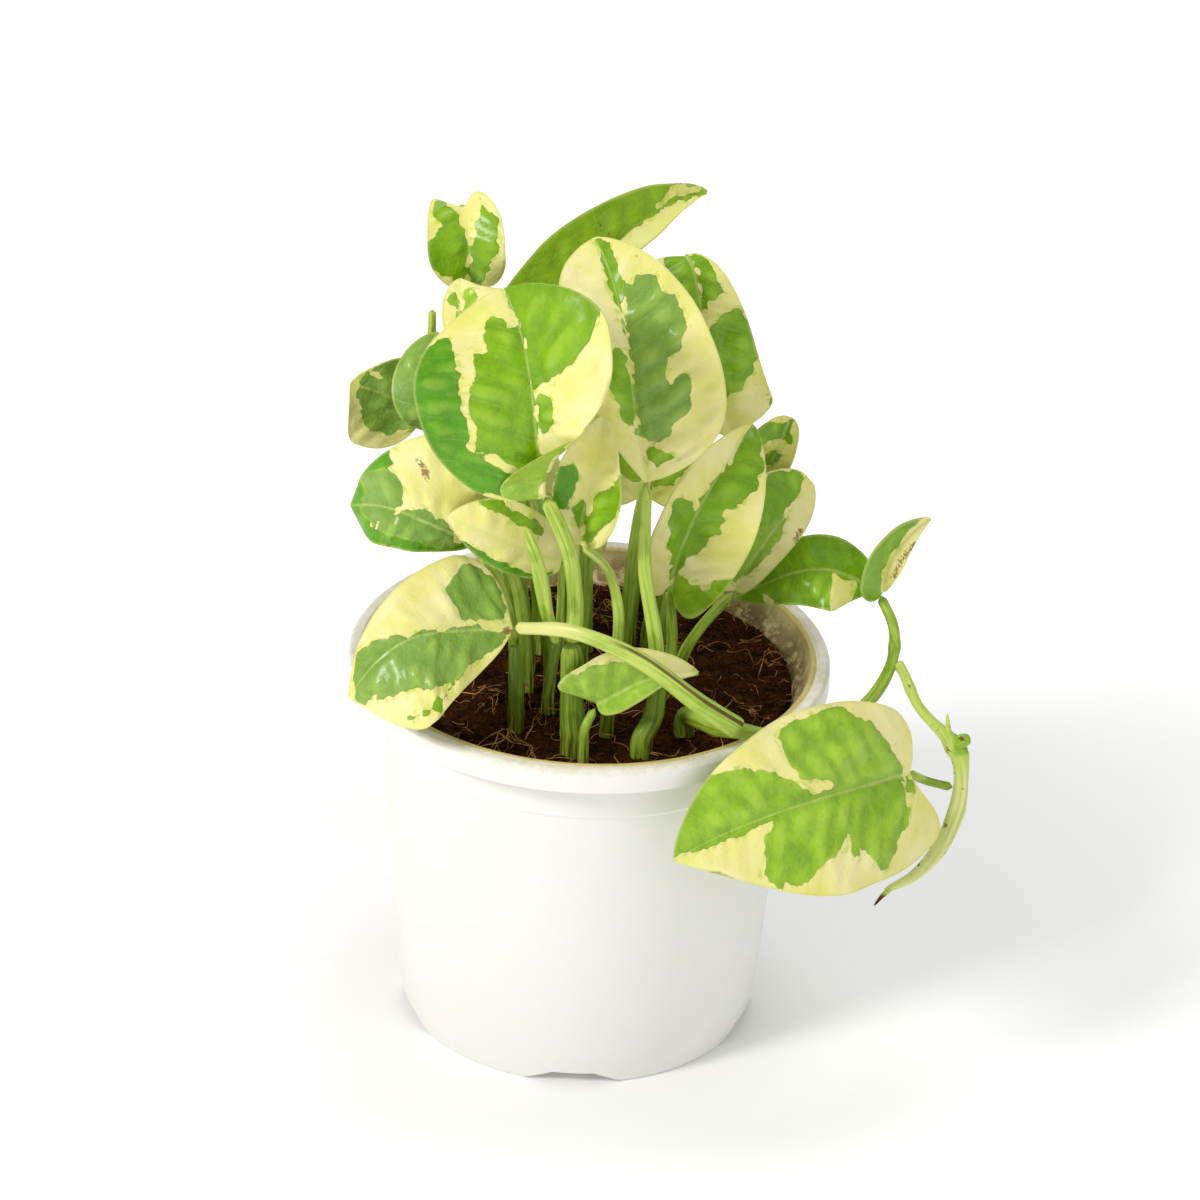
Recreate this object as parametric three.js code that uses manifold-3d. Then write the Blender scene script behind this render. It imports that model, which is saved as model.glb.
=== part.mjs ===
// A variegated pothos in a white moulded nursery pot.
// Millimetres, +Z up, +X to the right and +Y away from the front of the plant.
// The origin is the middle of the whole plant's footprint, on the surface that the pot stands on.
// The vine hangs out to the right, so the pot's own axis stands to the left of it. All positions below
// are measured from that axis, and the finished pieces are moved over together.
import * as THREE from "three";
import { mergeVertices } from "three/addons/utils/BufferGeometryUtils.js";
import Module from "manifold-3d";

const wasm = await Module();
wasm.setup();

// ---- driving dimensions -------------------------------------------------------------------
const POT_AXIS = [-15.5, 2.5]; // where the pot's axis stands, from the origin

const POT_HEIGHT = 91;
const RIM_RADIUS = 55; // outside of the lip
const LIP_DEPTH = 5.5; // height of the lip's outer skirt
const LIP_INNER_RADIUS = 50.5;
const WALL_TOP_RADIUS = 48.6; // outside of the wall, just under the lip
const STEP_HEIGHT = 74.5; // the small ring step below the lip
const STEP_SIZE = 0.8;
const FOOT_RADIUS = 40.8;
const FOOT_RING = 1.6; // width of the ring that the pot stands on
const FOOT_FLARE = 0.7; // the wall stands out a little above the foot
const WALL = 1.1;
const FLOOR_HEIGHT = 3.6; // the floor stands above the foot ring
const POT_SIDES = 40;

const NOTCHES = 5; // drain notches in the foot ring, the first at the front
const NOTCH_FOOT_WIDTH = 23;
const NOTCH_TOP_WIDTH = 9.5;
const NOTCH_HEIGHT = 3;
const NOTCH_DEPTH = 12; // length of the wedge that cuts a notch
const DRAIN_RADIUS = 4;
const DRAIN_CIRCLE = 28;
const DRAIN_SIDES = 12;

const SOIL_LEVEL = 84; // about 7 mm below the top of the lip
const SOIL_SLOPE = 0.03; // the soil is a little higher to the right
const SOIL_WAVE = 0.6;
const SOIL_RINGS = 5;
const SOIL_SIDES = 30;

const SEAT = 0.4; // clear gap between pieces that touch in the plant
const BLADE_THICKNESS = 0.8;
const BLADE_ROWS = 11; // from the stalk's end to the tip, closer together near the stalk
const BLADE_COLUMNS = 3; // in each half
const ROW_SPREAD = 1.5;
const PROFILE_STEPS = 8;
const STALK_SIDES = 7;
const STALK_STEP = 8; // length of one step along a stalk
const HALF_EDGE = 0.35; // half width of a blade's blunt ends
const NARROW = 2; // a half narrower than this lies flat, so that a rolled blade's ends stay clear
const BLADE_GAP = 0.9; // between the end of a stalk and the midrib's start
const STALK_DROP = 0.4; // the stalk meets its blade a little below the upper face

// ---- materials ------------------------------------------------------------------------------
const material = (color, roughness) => new THREE.MeshStandardMaterial({ color, roughness, metalness: 0 });
const potPlastic = () => material(0xf1f0e8, 0.5);
const soilMix = () => material(0x3b2213, 0.95);
const leafGreen = () => material(0x8fb548, 0.4);
const stalkGreen = () => material(0xb5cf77, 0.45);

// ---- closed meshes --------------------------------------------------------------------------
// A grid of points, rows by columns, becomes the outside of a closed sheet or tube.
function closedGeometry(points, triangles) {
  const geometry = new THREE.BufferGeometry();
  geometry.setAttribute("position", new THREE.Float32BufferAttribute(points.flatMap((p) => p.toArray()), 3));
  geometry.setIndex(triangles);
  geometry.computeVertexNormals();
  return geometry;
}

// Two triangles for the quad a-b-c-d, seen anticlockwise from outside.
const quad = (a, b, c, d) => [a, b, c, a, c, d];

// A tube through rings of points that close on themselves, with a fan at each end.
function tubeGeometry(rings) {
  const sides = rings[0].length;
  const points = rings.flat();
  const triangles = [];
  for (let i = 0; i + 1 < rings.length; i += 1) {
    for (let j = 0; j < sides; j += 1) {
      const k = (j + 1) % sides;
      triangles.push(...quad(i * sides + j, i * sides + k, (i + 1) * sides + k, (i + 1) * sides + j));
    }
  }
  const last = (rings.length - 1) * sides;
  for (let j = 1; j + 1 < sides; j += 1) {
    triangles.push(0, j + 1, j);
    triangles.push(last, last + j, last + j + 1);
  }
  return closedGeometry(points, triangles);
}

// A sheet of even thickness: the grid of upper points, its lower copy, and the edge between them.
function sheetGeometry(upper, lower) {
  const rows = upper.length;
  const columns = upper[0].length;
  const under = rows * columns;
  const at = (i, j) => i * columns + j;
  const triangles = [];
  for (let i = 0; i + 1 < rows; i += 1) {
    for (let j = 0; j + 1 < columns; j += 1) {
      triangles.push(...quad(at(i, j), at(i, j + 1), at(i + 1, j + 1), at(i + 1, j)));
      triangles.push(...quad(under + at(i, j), under + at(i + 1, j), under + at(i + 1, j + 1), under + at(i, j + 1)));
    }
  }
  const rim = [];
  for (let j = 0; j + 1 < columns; j += 1) rim.push(at(0, j));
  for (let i = 0; i + 1 < rows; i += 1) rim.push(at(i, columns - 1));
  for (let j = columns - 1; j > 0; j -= 1) rim.push(at(rows - 1, j));
  for (let i = rows - 1; i > 0; i -= 1) rim.push(at(i, 0));
  rim.forEach((a, n) => {
    const b = rim[(n + 1) % rim.length];
    triangles.push(...quad(b, a, under + a, under + b));
  });
  return closedGeometry([...upper.flat(), ...lower.flat()], triangles);
}

// ---- booleans -------------------------------------------------------------------------------
function toSolid(geometry) {
  const bare = geometry.clone();
  bare.deleteAttribute("normal");
  bare.deleteAttribute("uv");
  const merged = mergeVertices(bare, 1e-4);
  return new wasm.Manifold(
    new wasm.Mesh({
      numProp: 3,
      vertProperties: new Float32Array(merged.attributes.position.array),
      triVerts: new Uint32Array(merged.index.array),
    }),
  );
}

function toGeometry(solid) {
  const mesh = solid.getMesh();
  const geometry = new THREE.BufferGeometry();
  geometry.setAttribute("position", new THREE.Float32BufferAttribute(mesh.vertProperties, 3));
  geometry.setIndex([...mesh.triVerts]);
  geometry.computeVertexNormals();
  return geometry;
}

// ---- pot ------------------------------------------------------------------------------------
const wallRadius = (z) => {
  const low = FOOT_RADIUS + FOOT_FLARE;
  return low + ((WALL_TOP_RADIUS - low) * z) / POT_HEIGHT;
};

function potGeometry() {
  const lipFoot = POT_HEIGHT - LIP_DEPTH;
  const outside = [
    [FOOT_RADIUS - FOOT_RING, 0],
    [FOOT_RADIUS - 0.4, 0],
    [FOOT_RADIUS, 0.6],
    [wallRadius(8), 8],
    [wallRadius(STEP_HEIGHT), STEP_HEIGHT],
    [wallRadius(STEP_HEIGHT) + STEP_SIZE, STEP_HEIGHT + STEP_SIZE],
    [WALL_TOP_RADIUS - 0.2, POT_HEIGHT - 8.6],
    [LIP_INNER_RADIUS - 0.3, POT_HEIGHT - 4.7],
    [LIP_INNER_RADIUS + 0.9, POT_HEIGHT - 1.4],
    [RIM_RADIUS - 1.1, POT_HEIGHT - 1.4],
    [RIM_RADIUS - 1, lipFoot],
    [RIM_RADIUS, lipFoot],
    [RIM_RADIUS, POT_HEIGHT - 0.8],
    [RIM_RADIUS - 0.8, POT_HEIGHT],
  ];
  const inside = [
    [LIP_INNER_RADIUS + 1.9, POT_HEIGHT],
    [LIP_INNER_RADIUS + 1.5, POT_HEIGHT - 0.5],
    [LIP_INNER_RADIUS + 1, POT_HEIGHT],
    [LIP_INNER_RADIUS, POT_HEIGHT - 0.3],
    [LIP_INNER_RADIUS - 1.4, POT_HEIGHT - 4.5],
    [wallRadius(80) - WALL, POT_HEIGHT - 8],
    [wallRadius(8) - WALL, 8],
    [FOOT_RADIUS - 2.4, FLOOR_HEIGHT + WALL],
    [0, FLOOR_HEIGHT + WALL],
    [0, FLOOR_HEIGHT],
    [FOOT_RADIUS - WALL - 0.6, FLOOR_HEIGHT],
  ];
  const outline = [...outside, ...inside].map(([r, z]) => new THREE.Vector2(r, z));
  outline.push(outline[0].clone());
  const body = new THREE.LatheGeometry(outline, POT_SIDES);
  body.rotateX(Math.PI / 2); // the lathe turns about Y; the pot stands along Z
  let solid = toSolid(body);
  for (let n = 0; n < NOTCHES; n += 1) {
    const turn = (2 * Math.PI * n) / NOTCHES;
    solid = solid.subtract(toSolid(notchGeometry(turn)));
    solid = solid.subtract(toSolid(drainGeometry(turn)));
  }
  return toGeometry(solid);
}

// The wedge that is cut from the foot ring: wide at the ground, narrower at the top.
function notchGeometry(turn) {
  const low = NOTCH_FOOT_WIDTH / 2;
  const high = NOTCH_TOP_WIDTH / 2;
  const slope = (low - high) / NOTCH_HEIGHT;
  const shape = new THREE.Shape([
    new THREE.Vector2(-low - slope, -1),
    new THREE.Vector2(low + slope, -1),
    new THREE.Vector2(high, NOTCH_HEIGHT),
    new THREE.Vector2(-high, NOTCH_HEIGHT),
  ]);
  const spare = 4; // the wedge starts outside the wall
  const wedge = new THREE.ExtrudeGeometry(shape, { depth: NOTCH_DEPTH, bevelEnabled: false });
  wedge.rotateX(Math.PI / 2);
  wedge.translate(0, -FOOT_RADIUS + NOTCH_DEPTH - spare, 0);
  wedge.rotateZ(turn);
  return wedge;
}

function drainGeometry(turn) {
  const hole = new THREE.CylinderGeometry(DRAIN_RADIUS, DRAIN_RADIUS, 2 * FLOOR_HEIGHT, DRAIN_SIDES);
  hole.rotateX(Math.PI / 2);
  hole.translate(0, -DRAIN_CIRCLE, FLOOR_HEIGHT);
  hole.rotateZ(turn);
  return hole;
}

// ---- soil -----------------------------------------------------------------------------------
const soilHeight = (x, y) => SOIL_LEVEL + SOIL_SLOPE * x + SOIL_WAVE * Math.cos(x / 9) * Math.sin(y / 11);

function soilGeometry() {
  const rings = [];
  const ring = (radius, height) => {
    const points = [];
    for (let j = 0; j < SOIL_SIDES; j += 1) {
      const turn = (2 * Math.PI * j) / SOIL_SIDES;
      const x = radius * Math.cos(turn);
      const y = radius * Math.sin(turn);
      points.push(new THREE.Vector3(x, y, height ?? soilHeight(x, y)));
    }
    rings.push(points);
  };
  const floor = FLOOR_HEIGHT + WALL + SEAT;
  const clear = WALL + SEAT + 0.2;
  const lowRadius = FOOT_RADIUS - 2.4 - SEAT - 0.3;
  ring(1.5, floor);
  ring(lowRadius, floor);
  ring(wallRadius(8) - clear, 8.4);
  ring(wallRadius(79) - clear, 80.5);
  const edge = wallRadius(79) - clear;
  for (let n = 0; n < SOIL_RINGS; n += 1) ring(edge - (n * (edge - 1.5)) / (SOIL_RINGS - 1));
  return tubeGeometry(rings);
}

// ---- leaf blades ----------------------------------------------------------------------------
const radians = (degrees) => (degrees * Math.PI) / 180;

// The direction that a face looks in: 0 is the front, 90 the right, and up is above the horizon.
function facing([around, up]) {
  const level = Math.cos(radians(up));
  return new THREE.Vector3(Math.sin(radians(around)) * level, -Math.cos(radians(around)) * level, Math.sin(radians(up)));
}

// The midrib is the cubic through four points, at u = 0, 1/3, 2/3 and 1.
function midrib(points, u) {
  const place = new THREE.Vector3();
  const slope = new THREE.Vector3();
  points.forEach((point, i) => {
    const [a, b, c] = [0, 1, 2, 3].filter((j) => j !== i).map((j) => j / 3);
    const k = i / 3;
    const scale = 1 / ((k - a) * (k - b) * (k - c));
    const p = new THREE.Vector3(...point);
    place.addScaledVector(p, (u - a) * (u - b) * (u - c) * scale);
    slope.addScaledVector(p, ((u - b) * (u - c) + (u - a) * (u - c) + (u - a) * (u - b)) * scale);
  });
  return { place, slope };
}

// How far sideways and up a half of the given reach has come at s, from 0 at the midrib to 1 at its edge,
// and how steep it is there. It leaves the midrib at the angle lift and bends by curl on the way.
function crossProfile([, , , lift, curl], reach, s) {
  let across = 0;
  let up = 0;
  for (let k = 0; k < PROFILE_STEPS; k += 1) {
    const angle = radians(lift + (curl * s * (k + 0.5)) / PROFILE_STEPS);
    across += (Math.cos(angle) * reach * s) / PROFILE_STEPS;
    up += (Math.sin(angle) * reach * s) / PROFILE_STEPS;
  }
  return { across, up, slope: radians(lift + curl * s) };
}

// The edge of one half of a blade, in its own plane: how far out it lies, and how far past u.
// A half is [width, widest, fullness, lift, curl, lobe, [blunt, taper] of the tip].
function edgePoint(u, half, length) {
  const [width, widest, fullness, , , lobe, [blunt, taper]] = half;
  if (u >= widest) {
    const t = (u - widest) / (1 - widest);
    return { out: width * (1 - t ** blunt) ** taper, along: 0 };
  }
  const turn = (Math.PI / 2) * (u / widest) ** 0.6;
  const notch = lobe * Math.max(0, 1 - turn / 0.75) ** 2;
  const along = widest * length - (widest * length + lobe) * Math.cos(turn) + notch - u * length;
  return { out: width * Math.sin(turn) ** fullness, along };
}

// skew moves the widest part of the left and of the right half on towards the tip.
function bladeGeometry({ rib, face, left, right, skew = [0, 0] }) {
  let length = 0;
  const steps = BLADE_ROWS * 2;
  for (let i = 0; i <= steps; i += 1) length += midrib(rib, i / steps).slope.length() / (steps + 1);
  const faces = face.map(facing);
  const upper = [];
  const lower = [];
  for (let i = 0; i <= BLADE_ROWS; i += 1) {
    const u = (i / BLADE_ROWS) ** ROW_SPREAD;
    const { place, slope } = midrib(rib, u);
    const forward = slope.normalize();
    const normal = faces[0].clone().lerp(faces[1], u);
    normal.addScaledVector(forward, -normal.dot(forward)).normalize();
    const side = forward.clone().cross(normal);
    upper.push([]);
    lower.push([]);
    for (let j = -BLADE_COLUMNS; j <= BLADE_COLUMNS; j += 1) {
      const half = j >= 0 ? right : left;
      const s = Math.abs(j) / BLADE_COLUMNS;
      const { out, along } = edgePoint(u, half, length);
      const past = along + (skew[j >= 0 ? 1 : 0] * u * out) / half[0];
      const { across, up, slope: steepness } = crossProfile(half, out + HALF_EDGE, s);
      const lean = steepness * Math.sign(j) * Math.min(1, out / NARROW);
      const point = place.clone();
      point.addScaledVector(side, Math.sign(j) * across);
      point.addScaledVector(normal, up);
      point.addScaledVector(forward, past * s ** 1.4);
      const through = normal.clone().multiplyScalar((Math.cos(lean) * BLADE_THICKNESS) / 2);
      through.addScaledVector(side, (-Math.sin(lean) * BLADE_THICKNESS) / 2);
      upper.at(-1).push(point.clone().add(through));
      lower.at(-1).push(point.clone().sub(through));
    }
  }
  return sheetGeometry(upper, lower);
}

// ---- stalks and stems -----------------------------------------------------------------------
// A tapering tube along a smooth curve; its rings keep one side towards the front.
function stalkGeometry(points, [startRadius, endRadius]) {
  const curve = new THREE.CatmullRomCurve3(points);
  const steps = Math.max(3, Math.round(curve.getLength() / STALK_STEP));
  const front = new THREE.Vector3(0, -1, 0.3);
  const rings = [];
  for (let i = 0; i <= steps; i += 1) {
    const centre = curve.getPoint(i / steps);
    const forward = curve.getTangent(i / steps);
    const a = forward.clone().cross(front).normalize();
    const b = a.clone().cross(forward);
    const radius = startRadius + ((endRadius - startRadius) * i) / steps;
    const ring = [];
    for (let j = 0; j < STALK_SIDES; j += 1) {
      const turn = (-2 * Math.PI * j) / STALK_SIDES;
      const point = centre.clone();
      point.addScaledVector(a, radius * Math.cos(turn));
      point.addScaledVector(b, radius * Math.sin(turn));
      ring.push(point);
    }
    rings.push(ring);
  }
  return tubeGeometry(rings);
}

// A stalk that rises from the soil starts upright, just clear of the surface.
function fromSoil([x, y], ...rest) {
  const z = soilHeight(x, y) + SEAT;
  return [[x, y, z], [x, y, z + 4], ...rest];
}

// The last stretch of a leaf's stalk ends just short of its blade.
function leafStalkPoints({ stalk, rib, face, drop = STALK_DROP }) {
  const points = stalk.map((p) => new THREE.Vector3(...p));
  const end = new THREE.Vector3(...rib[0]);
  const back = points.at(-1).clone().sub(end).normalize();
  end.addScaledVector(back, BLADE_GAP).addScaledVector(facing(face[0]), -drop);
  return [...points, end];
}

// ---- the plant ------------------------------------------------------------------------------
const OVAL = [2, 0.9];

const STEMS = {
  stem_left: { path: fromSoil([-16, -24], [-16.5, -21, 103]), radii: [1.9, 1.7] },
  stem_centre: { path: fromSoil([-3, -34], [-3.5, -32, 96], [-4, -30, 108.5]), radii: [2.9, 2.5] },
  stem_right: { path: fromSoil([12.5, -35], [14.5, -33, 92.5], [15.5, -31, 99.5]), radii: [2.5, 2.1] },
  cut_stalk: {
    path: fromSoil([-17, -1], [-21, 0, 115], [-30, 4, 140], [-37.5, 7, 162], [-38, 7, 172]),
    radii: [1.4, 0.9],
  },
  young_leaf: {
    path: [[-7.3, -30.3, 109.2], [-9.6, -31.5, 117], [-12.3, -31.5, 130], [-15, -30, 138]],
    radii: [0.9, 1.3],
  },
  vine_over_rim: {
    path: fromSoil(
      [22, -26], [24.5, -31, 92], [29, -37, 93.3], [34.5, -40, 94.4], [39.5, -41.2, 94.2], [48, -36.5, 91],
      [57.5, -27, 90.5], [64.5, -20, 94], [68.2, -14, 99.5], [68.3, -9, 105], [65.2, -2.6, 109.6],
    ),
    radii: [2.3, 1.1],
  },
  vine_hanging: {
    path: [
      [70.6, -15.3, 98.3], [74.4, -18, 90.4], [77.8, -19.5, 87], [81.6, -20.5, 83.6], [84.6, -21, 79.1],
      [85.5, -22.5, 72.7], [83.8, -25, 64.9], [80.7, -28, 58.6], [75.7, -31, 53.6], [69, -34, 51],
    ],
    radii: [1.2, 1.8],
  },
};

const LEAVES = {
  front: {
    rib: [[-11, -31, 146], [-13.5, -33, 163.5], [-16, -31, 179.5], [-21.5, -22, 191.5]],
    face: [[-8, 5], [-5, 28]],
    left: [25, 0.5, 0.85, 5, 10, 0, [2, 0.7]],
    right: [22.5, 0.78, 4.4, 33, -8, 0, [1.8, 0.85]],
    skew: [5, -6],
    stalk: [[-4, -30, 109.5], [-3.5, -29, 117], [-5.5, -30, 132.5]],
    girth: [2, 1.6],
  },
  centre_right: {
    rib: [[11, -20, 145], [7.5, -19, 164.5], [4, -12, 181.5], [-2.5, 2, 193.5]],
    face: [[5, 10], [0, 50]],
    left: [13, 0.7, 2.2, 10, 5, 0, [2.5, 0.7]],
    right: [20, 0.34, 0.8, 8, 5, -2, [1.9, 0.8]],
    stalk: [[15.5, -31, 100.5], [14.5, -28, 110], [11.5, -24, 125.5]],
    girth: [1.9, 1.3],
  },
  top_arch: {
    rib: [[-13.5, 6, 171], [-1, 13, 184.3], [11.5, 18, 194], [22, 20, 197.5]],
    face: [[180, 15], [190, 30]],
    left: [7, 0.3, 1, -80, 0, 0, [1.6, 1]],
    right: [11.3, 0.2, 0.55, 5, 20, 15, [1.5, 1]],
    stalk: fromSoil([-2, 3], [-2, 5, 120], [-8, 9, 155]),
    girth: [1.8, 1.3],
  },
  top_left: {
    rib: [[-32, 18, 192.5], [-30.5, 13, 188], [-30, 12, 182], [-28, 16, 173.5]],
    face: [[-5, 25], [-5, 0]],
    left: [8, 0.5, 0.8, 10, 0, 4, [3, 0.6]],
    right: [9, 0.45, 0.6, 15, 0, 6, [2.4, 0.7]],
    stalk: fromSoil([-14, 2], [-18, 3, 115], [-26, 10, 145], [-33, 22, 178], [-33, 22, 188]),
    girth: [1.7, 1.1],
  },
  left_pale: {
    rib: [[-31, -2, 166.5], [-31.3, 0, 171.5], [-32, 4.5, 176], [-31.5, 8, 179.5]],
    face: [[-20, 15], [-10, 45]],
    left: [3.6, 0.5, 1, 0, 0, 1, OVAL],
    right: [11, 0.6, 1, 10, 0, 1, [2.6, 0.7]],
    stalk: fromSoil([-9, -3], [-12, -1, 115], [-19, 2, 143], [-27, 2, 160]),
    girth: [1.6, 1.1],
  },
  right_upper: {
    rib: [[18, 12, 185.5], [21.5, 6, 176.5], [24.2, 5, 161], [30.5, 8, 143]],
    face: [[15, 20], [15, -5]],
    left: [11.5, 0.88, 1.3, 5, 0, 0, [3, 0.6]],
    right: [12, 0.4, 0.8, 5, 5, 3, OVAL],
    stalk: fromSoil([8, 8], [10, 10, 120], [18, 16, 160], [20.5, 18, 178]),
    girth: [1.8, 1.1],
  },
  left_back: {
    rib: [[-39.5, 14, 142.5], [-45, 12, 146.5], [-50.5, 10, 150], [-56, 8, 152.5]],
    face: [[-25, 15], [-20, 10]],
    left: [14, 0.45, 0.8, 0, 5, 2, OVAL],
    right: [12, 0.4, 0.8, 5, 5, 2, [2, 0.8]],
    stalk: fromSoil([-12, 12], [-15, 13, 110], [-30, 15, 134]),
    girth: [1.6, 1],
  },
  left_edge: {
    rib: [[-32, -4, 144], [-35, -6, 152.5], [-39, -4, 160], [-36.5, 4, 168]],
    face: [[-40, 10], [-30, 25]],
    left: [8, 0.55, 1, 15, 0, 0, OVAL],
    right: [8, 0.5, 1, 0, 0, 0, OVAL],
    stalk: fromSoil([-14, -7], [-17, -6, 110], [-26, -5, 132]),
    girth: [1.6, 1.1],
  },
  lower_left: {
    rib: [[-26.5, -16, 126.5], [-36.5, -20, 132.5], [-45.5, -18, 135], [-54.5, -10, 131]],
    face: [[-15, 25], [-35, 15]],
    left: [8.5, 0.7, 1.6, -5, 0, 1, [3, 0.6]],
    right: [25, 0.34, 0.8, 5, 10, 4, [1.3, 1.1]],
    stalk: [[-16.8, -20.5, 104.2], [-20.5, -18, 115.5]],
    girth: [1.6, 1.2],
  },
  under_front: {
    rib: [[-7, -16, 122.5], [-16, -20.5, 127.5], [-24.5, -22, 132], [-32.5, -20, 134.5]],
    face: [[0, 30], [-10, 20]],
    left: [6, 0.4, 0.8, 0, 0, 0, OVAL],
    right: [9, 0.5, 0.8, 0, 0, 0, OVAL],
    stalk: fromSoil([-9, -15], [-7, -13, 105]),
    girth: [1.6, 0.75],
  },
  narrow_centre: {
    rib: [[-3, -23, 130.5], [-2, -25, 142], [0, -25.5, 153], [1, -24, 163]],
    face: [[5, 5], [0, 30]],
    left: [8, 0.5, 1, 10, 0, 0, OVAL],
    right: [11, 0.5, 1.1, 25, 60, 0, OVAL],
    stalk: fromSoil([4.5, -26], [5.5, -25, 97.5], [6, -25, 115.5], [3, -22.5, 124.5]),
    girth: [1.8, 0.9],
  },
  right_centre: {
    rib: [[17.5, -12, 114], [21, -14, 130.5], [27.5, -12, 144.5], [34.5, -4, 152]],
    face: [[10, 5], [15, 25]],
    left: [8, 0.4, 0.8, 10, 5, 3, [1.8, 0.9]],
    right: [14, 0.36, 1.3, 10, 5, 12, [1.9, 0.8]],
    stalk: fromSoil([18, -8], [18.5, -7, 98], [18, -7.5, 106]),
    girth: [1.6, 1],
    drop: 1.5,
  },
  right_low: {
    rib: [[32.5, 2, 107], [38, 0, 120], [44, 2, 128.5], [48.5, 8, 132.5]],
    face: [[15, 20], [20, 25]],
    left: [11, 0.5, 0.8, 0, 20, 1, [2.4, 0.7]],
    right: [5.5, 0.5, 1, 10, 10, 1, OVAL],
    stalk: fromSoil([21, 1], [25, 2, 97]),
    girth: [1.6, 1.1],
  },
  right_small: {
    rib: [[38.5, 12, 130.5], [39.5, 10, 137], [41.5, 10, 142.5], [43, 14, 145.5]],
    face: [[10, 30], [10, 20]],
    left: [7, 0.45, 1, 0, 30, 1, OVAL],
    right: [4.5, 0.5, 1, 30, 10, 1, OVAL],
    stalk: fromSoil([16, 8], [18, 10, 105], [28, 15, 120]),
    girth: [1.4, 0.65],
  },
  right_level: {
    rib: [[64, -1.6, 109.8], [52.5, -2, 115.5], [42.5, 0, 112], [32.5, 8, 102]],
    face: [[5, 50], [0, 45]],
    left: [9, 0.25, 2.5, -5, -10, 0, [1.8, 0.9]],
    right: [8, 0.4, 1, 5, 0, 0, [1.8, 0.9]],
  },
  right_upright: {
    rib: [[65.9, -3.2, 111], [65.8, -5, 117.5], [69, -3, 123.3], [75.5, 2, 127.5]],
    face: [[10, 5], [20, 15]],
    left: [7, 0.4, 0.9, 20, 10, 1, [1.6, 0.9]],
    right: [3.2, 0.5, 1.8, 20, 0, 0, [1.5, 1]],
  },
  trailing: {
    rib: [[73, -30, 79.5], [56, -45.5, 82.5], [37.5, -54, 79.5], [20.5, -58.5, 71.5]],
    face: [[30, 20], [25, 25]],
    left: [22, 0.36, 0.7, 5, -5, 16, [1.7, 0.95]],
    right: [20.5, 0.4, 0.75, 5, -5, 3, [1.8, 0.9]],
    stalk: [[83.3, -20.8, 71], [77.5, -22.8, 73.5]],
    girth: [1, 1],
    drop: 1.2,
  },
  front_left: {
    rib: [[-17.2, -29, 112], [-30, -35, 114], [-41.5, -40, 113], [-52.5, -42, 100]],
    face: [[-10, 45], [-30, 35]],
    left: [19, 0.78, 1.9, 0, -10, 0, [3, 0.6]],
    right: [17, 0.28, 0.7, 5, 0, 0, [1.2, 0.9]],
    stalk: [[34, -44.2, 97], [25, -45, 103.4], [11, -43, 113], [-3.5, -38.5, 116.8]],
    girth: [2.5, 1.4],
    drop: -0.4,
  },
  low_centre: {
    rib: [[2, -37, 98], [7, -36, 100.6], [14.5, -34, 103.7], [24.3, -30, 103]],
    face: [[0, 60], [0, 60]],
    left: [10, 0.3, 0.7, 25, 40, 9, [1.5, 0.9]],
    right: [4.4, 0.3, 0.8, 0, 0, 0, [1.5, 0.9]],
    stalk: fromSoil([-0.5, -40], [-0.4, -39.5, 93]),
    girth: [1.3, 1],
  },
  back_centre: {
    rib: [[11, 20, 121], [11, 29, 134], [11, 38, 147], [12, 47, 158]],
    face: [[175, 5], [175, 40]],
    left: [14, 0.35, 0.8, 5, 10, 5, OVAL],
    right: [14, 0.38, 0.8, 5, 10, 5, OVAL],
    stalk: fromSoil([9, 15], [10, 16, 104]),
    girth: [1.7, 1.2],
  },
  back_left: {
    rib: [[-12, 18, 122], [-21, 27, 130], [-30, 36, 133], [-38, 43, 128]],
    face: [[215, 50], [215, 25]],
    left: [14, 0.35, 0.8, 5, 5, 5, OVAL],
    right: [14, 0.35, 0.8, 5, 5, 5, OVAL],
    stalk: fromSoil([-5, 14], [-6, 14, 104]),
    girth: [1.7, 1.2],
  },
  back_right: {
    rib: [[23.5, 16, 106], [31.5, 23, 116], [38.5, 29, 121], [44.5, 35, 118]],
    face: [[145, 45], [145, 30]],
    left: [13, 0.35, 0.8, 5, 5, 4, OVAL],
    right: [13, 0.35, 0.8, 5, 5, 4, OVAL],
    stalk: fromSoil([13, 15], [15, 16, 96]),
    girth: [1.6, 1.1],
  },
  back_high: {
    rib: [[-5, 21, 147], [-9, 28, 155], [-13, 36, 156], [-16, 44, 150]],
    face: [[200, 60], [200, 30]],
    left: [13, 0.35, 0.8, 5, 5, 4, OVAL],
    right: [13, 0.35, 0.8, 5, 5, 4, OVAL],
    stalk: fromSoil([-1, 12], [-2.5, 18, 125]),
    girth: [1.7, 1.1],
  },
  back_low: {
    rib: [[-7, 24, 102], [-10, 33, 108], [-12, 43, 108], [-12, 53, 100]],
    face: [[180, 70], [180, 35]],
    left: [13, 0.35, 0.8, 5, 0, 5, OVAL],
    right: [13, 0.35, 0.8, 5, 0, 5, OVAL],
    stalk: fromSoil([-5, 20], [-5.5, 20.5, 94]),
    girth: [1.5, 1.1],
  },
};

// ---- assembly -------------------------------------------------------------------------------
const plant = new THREE.Group();

function addPiece(name, geometry, finish) {
  geometry.translate(...POT_AXIS, 0);
  const mesh = new THREE.Mesh(geometry, finish);
  mesh.name = name;
  plant.add(mesh);
}

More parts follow.
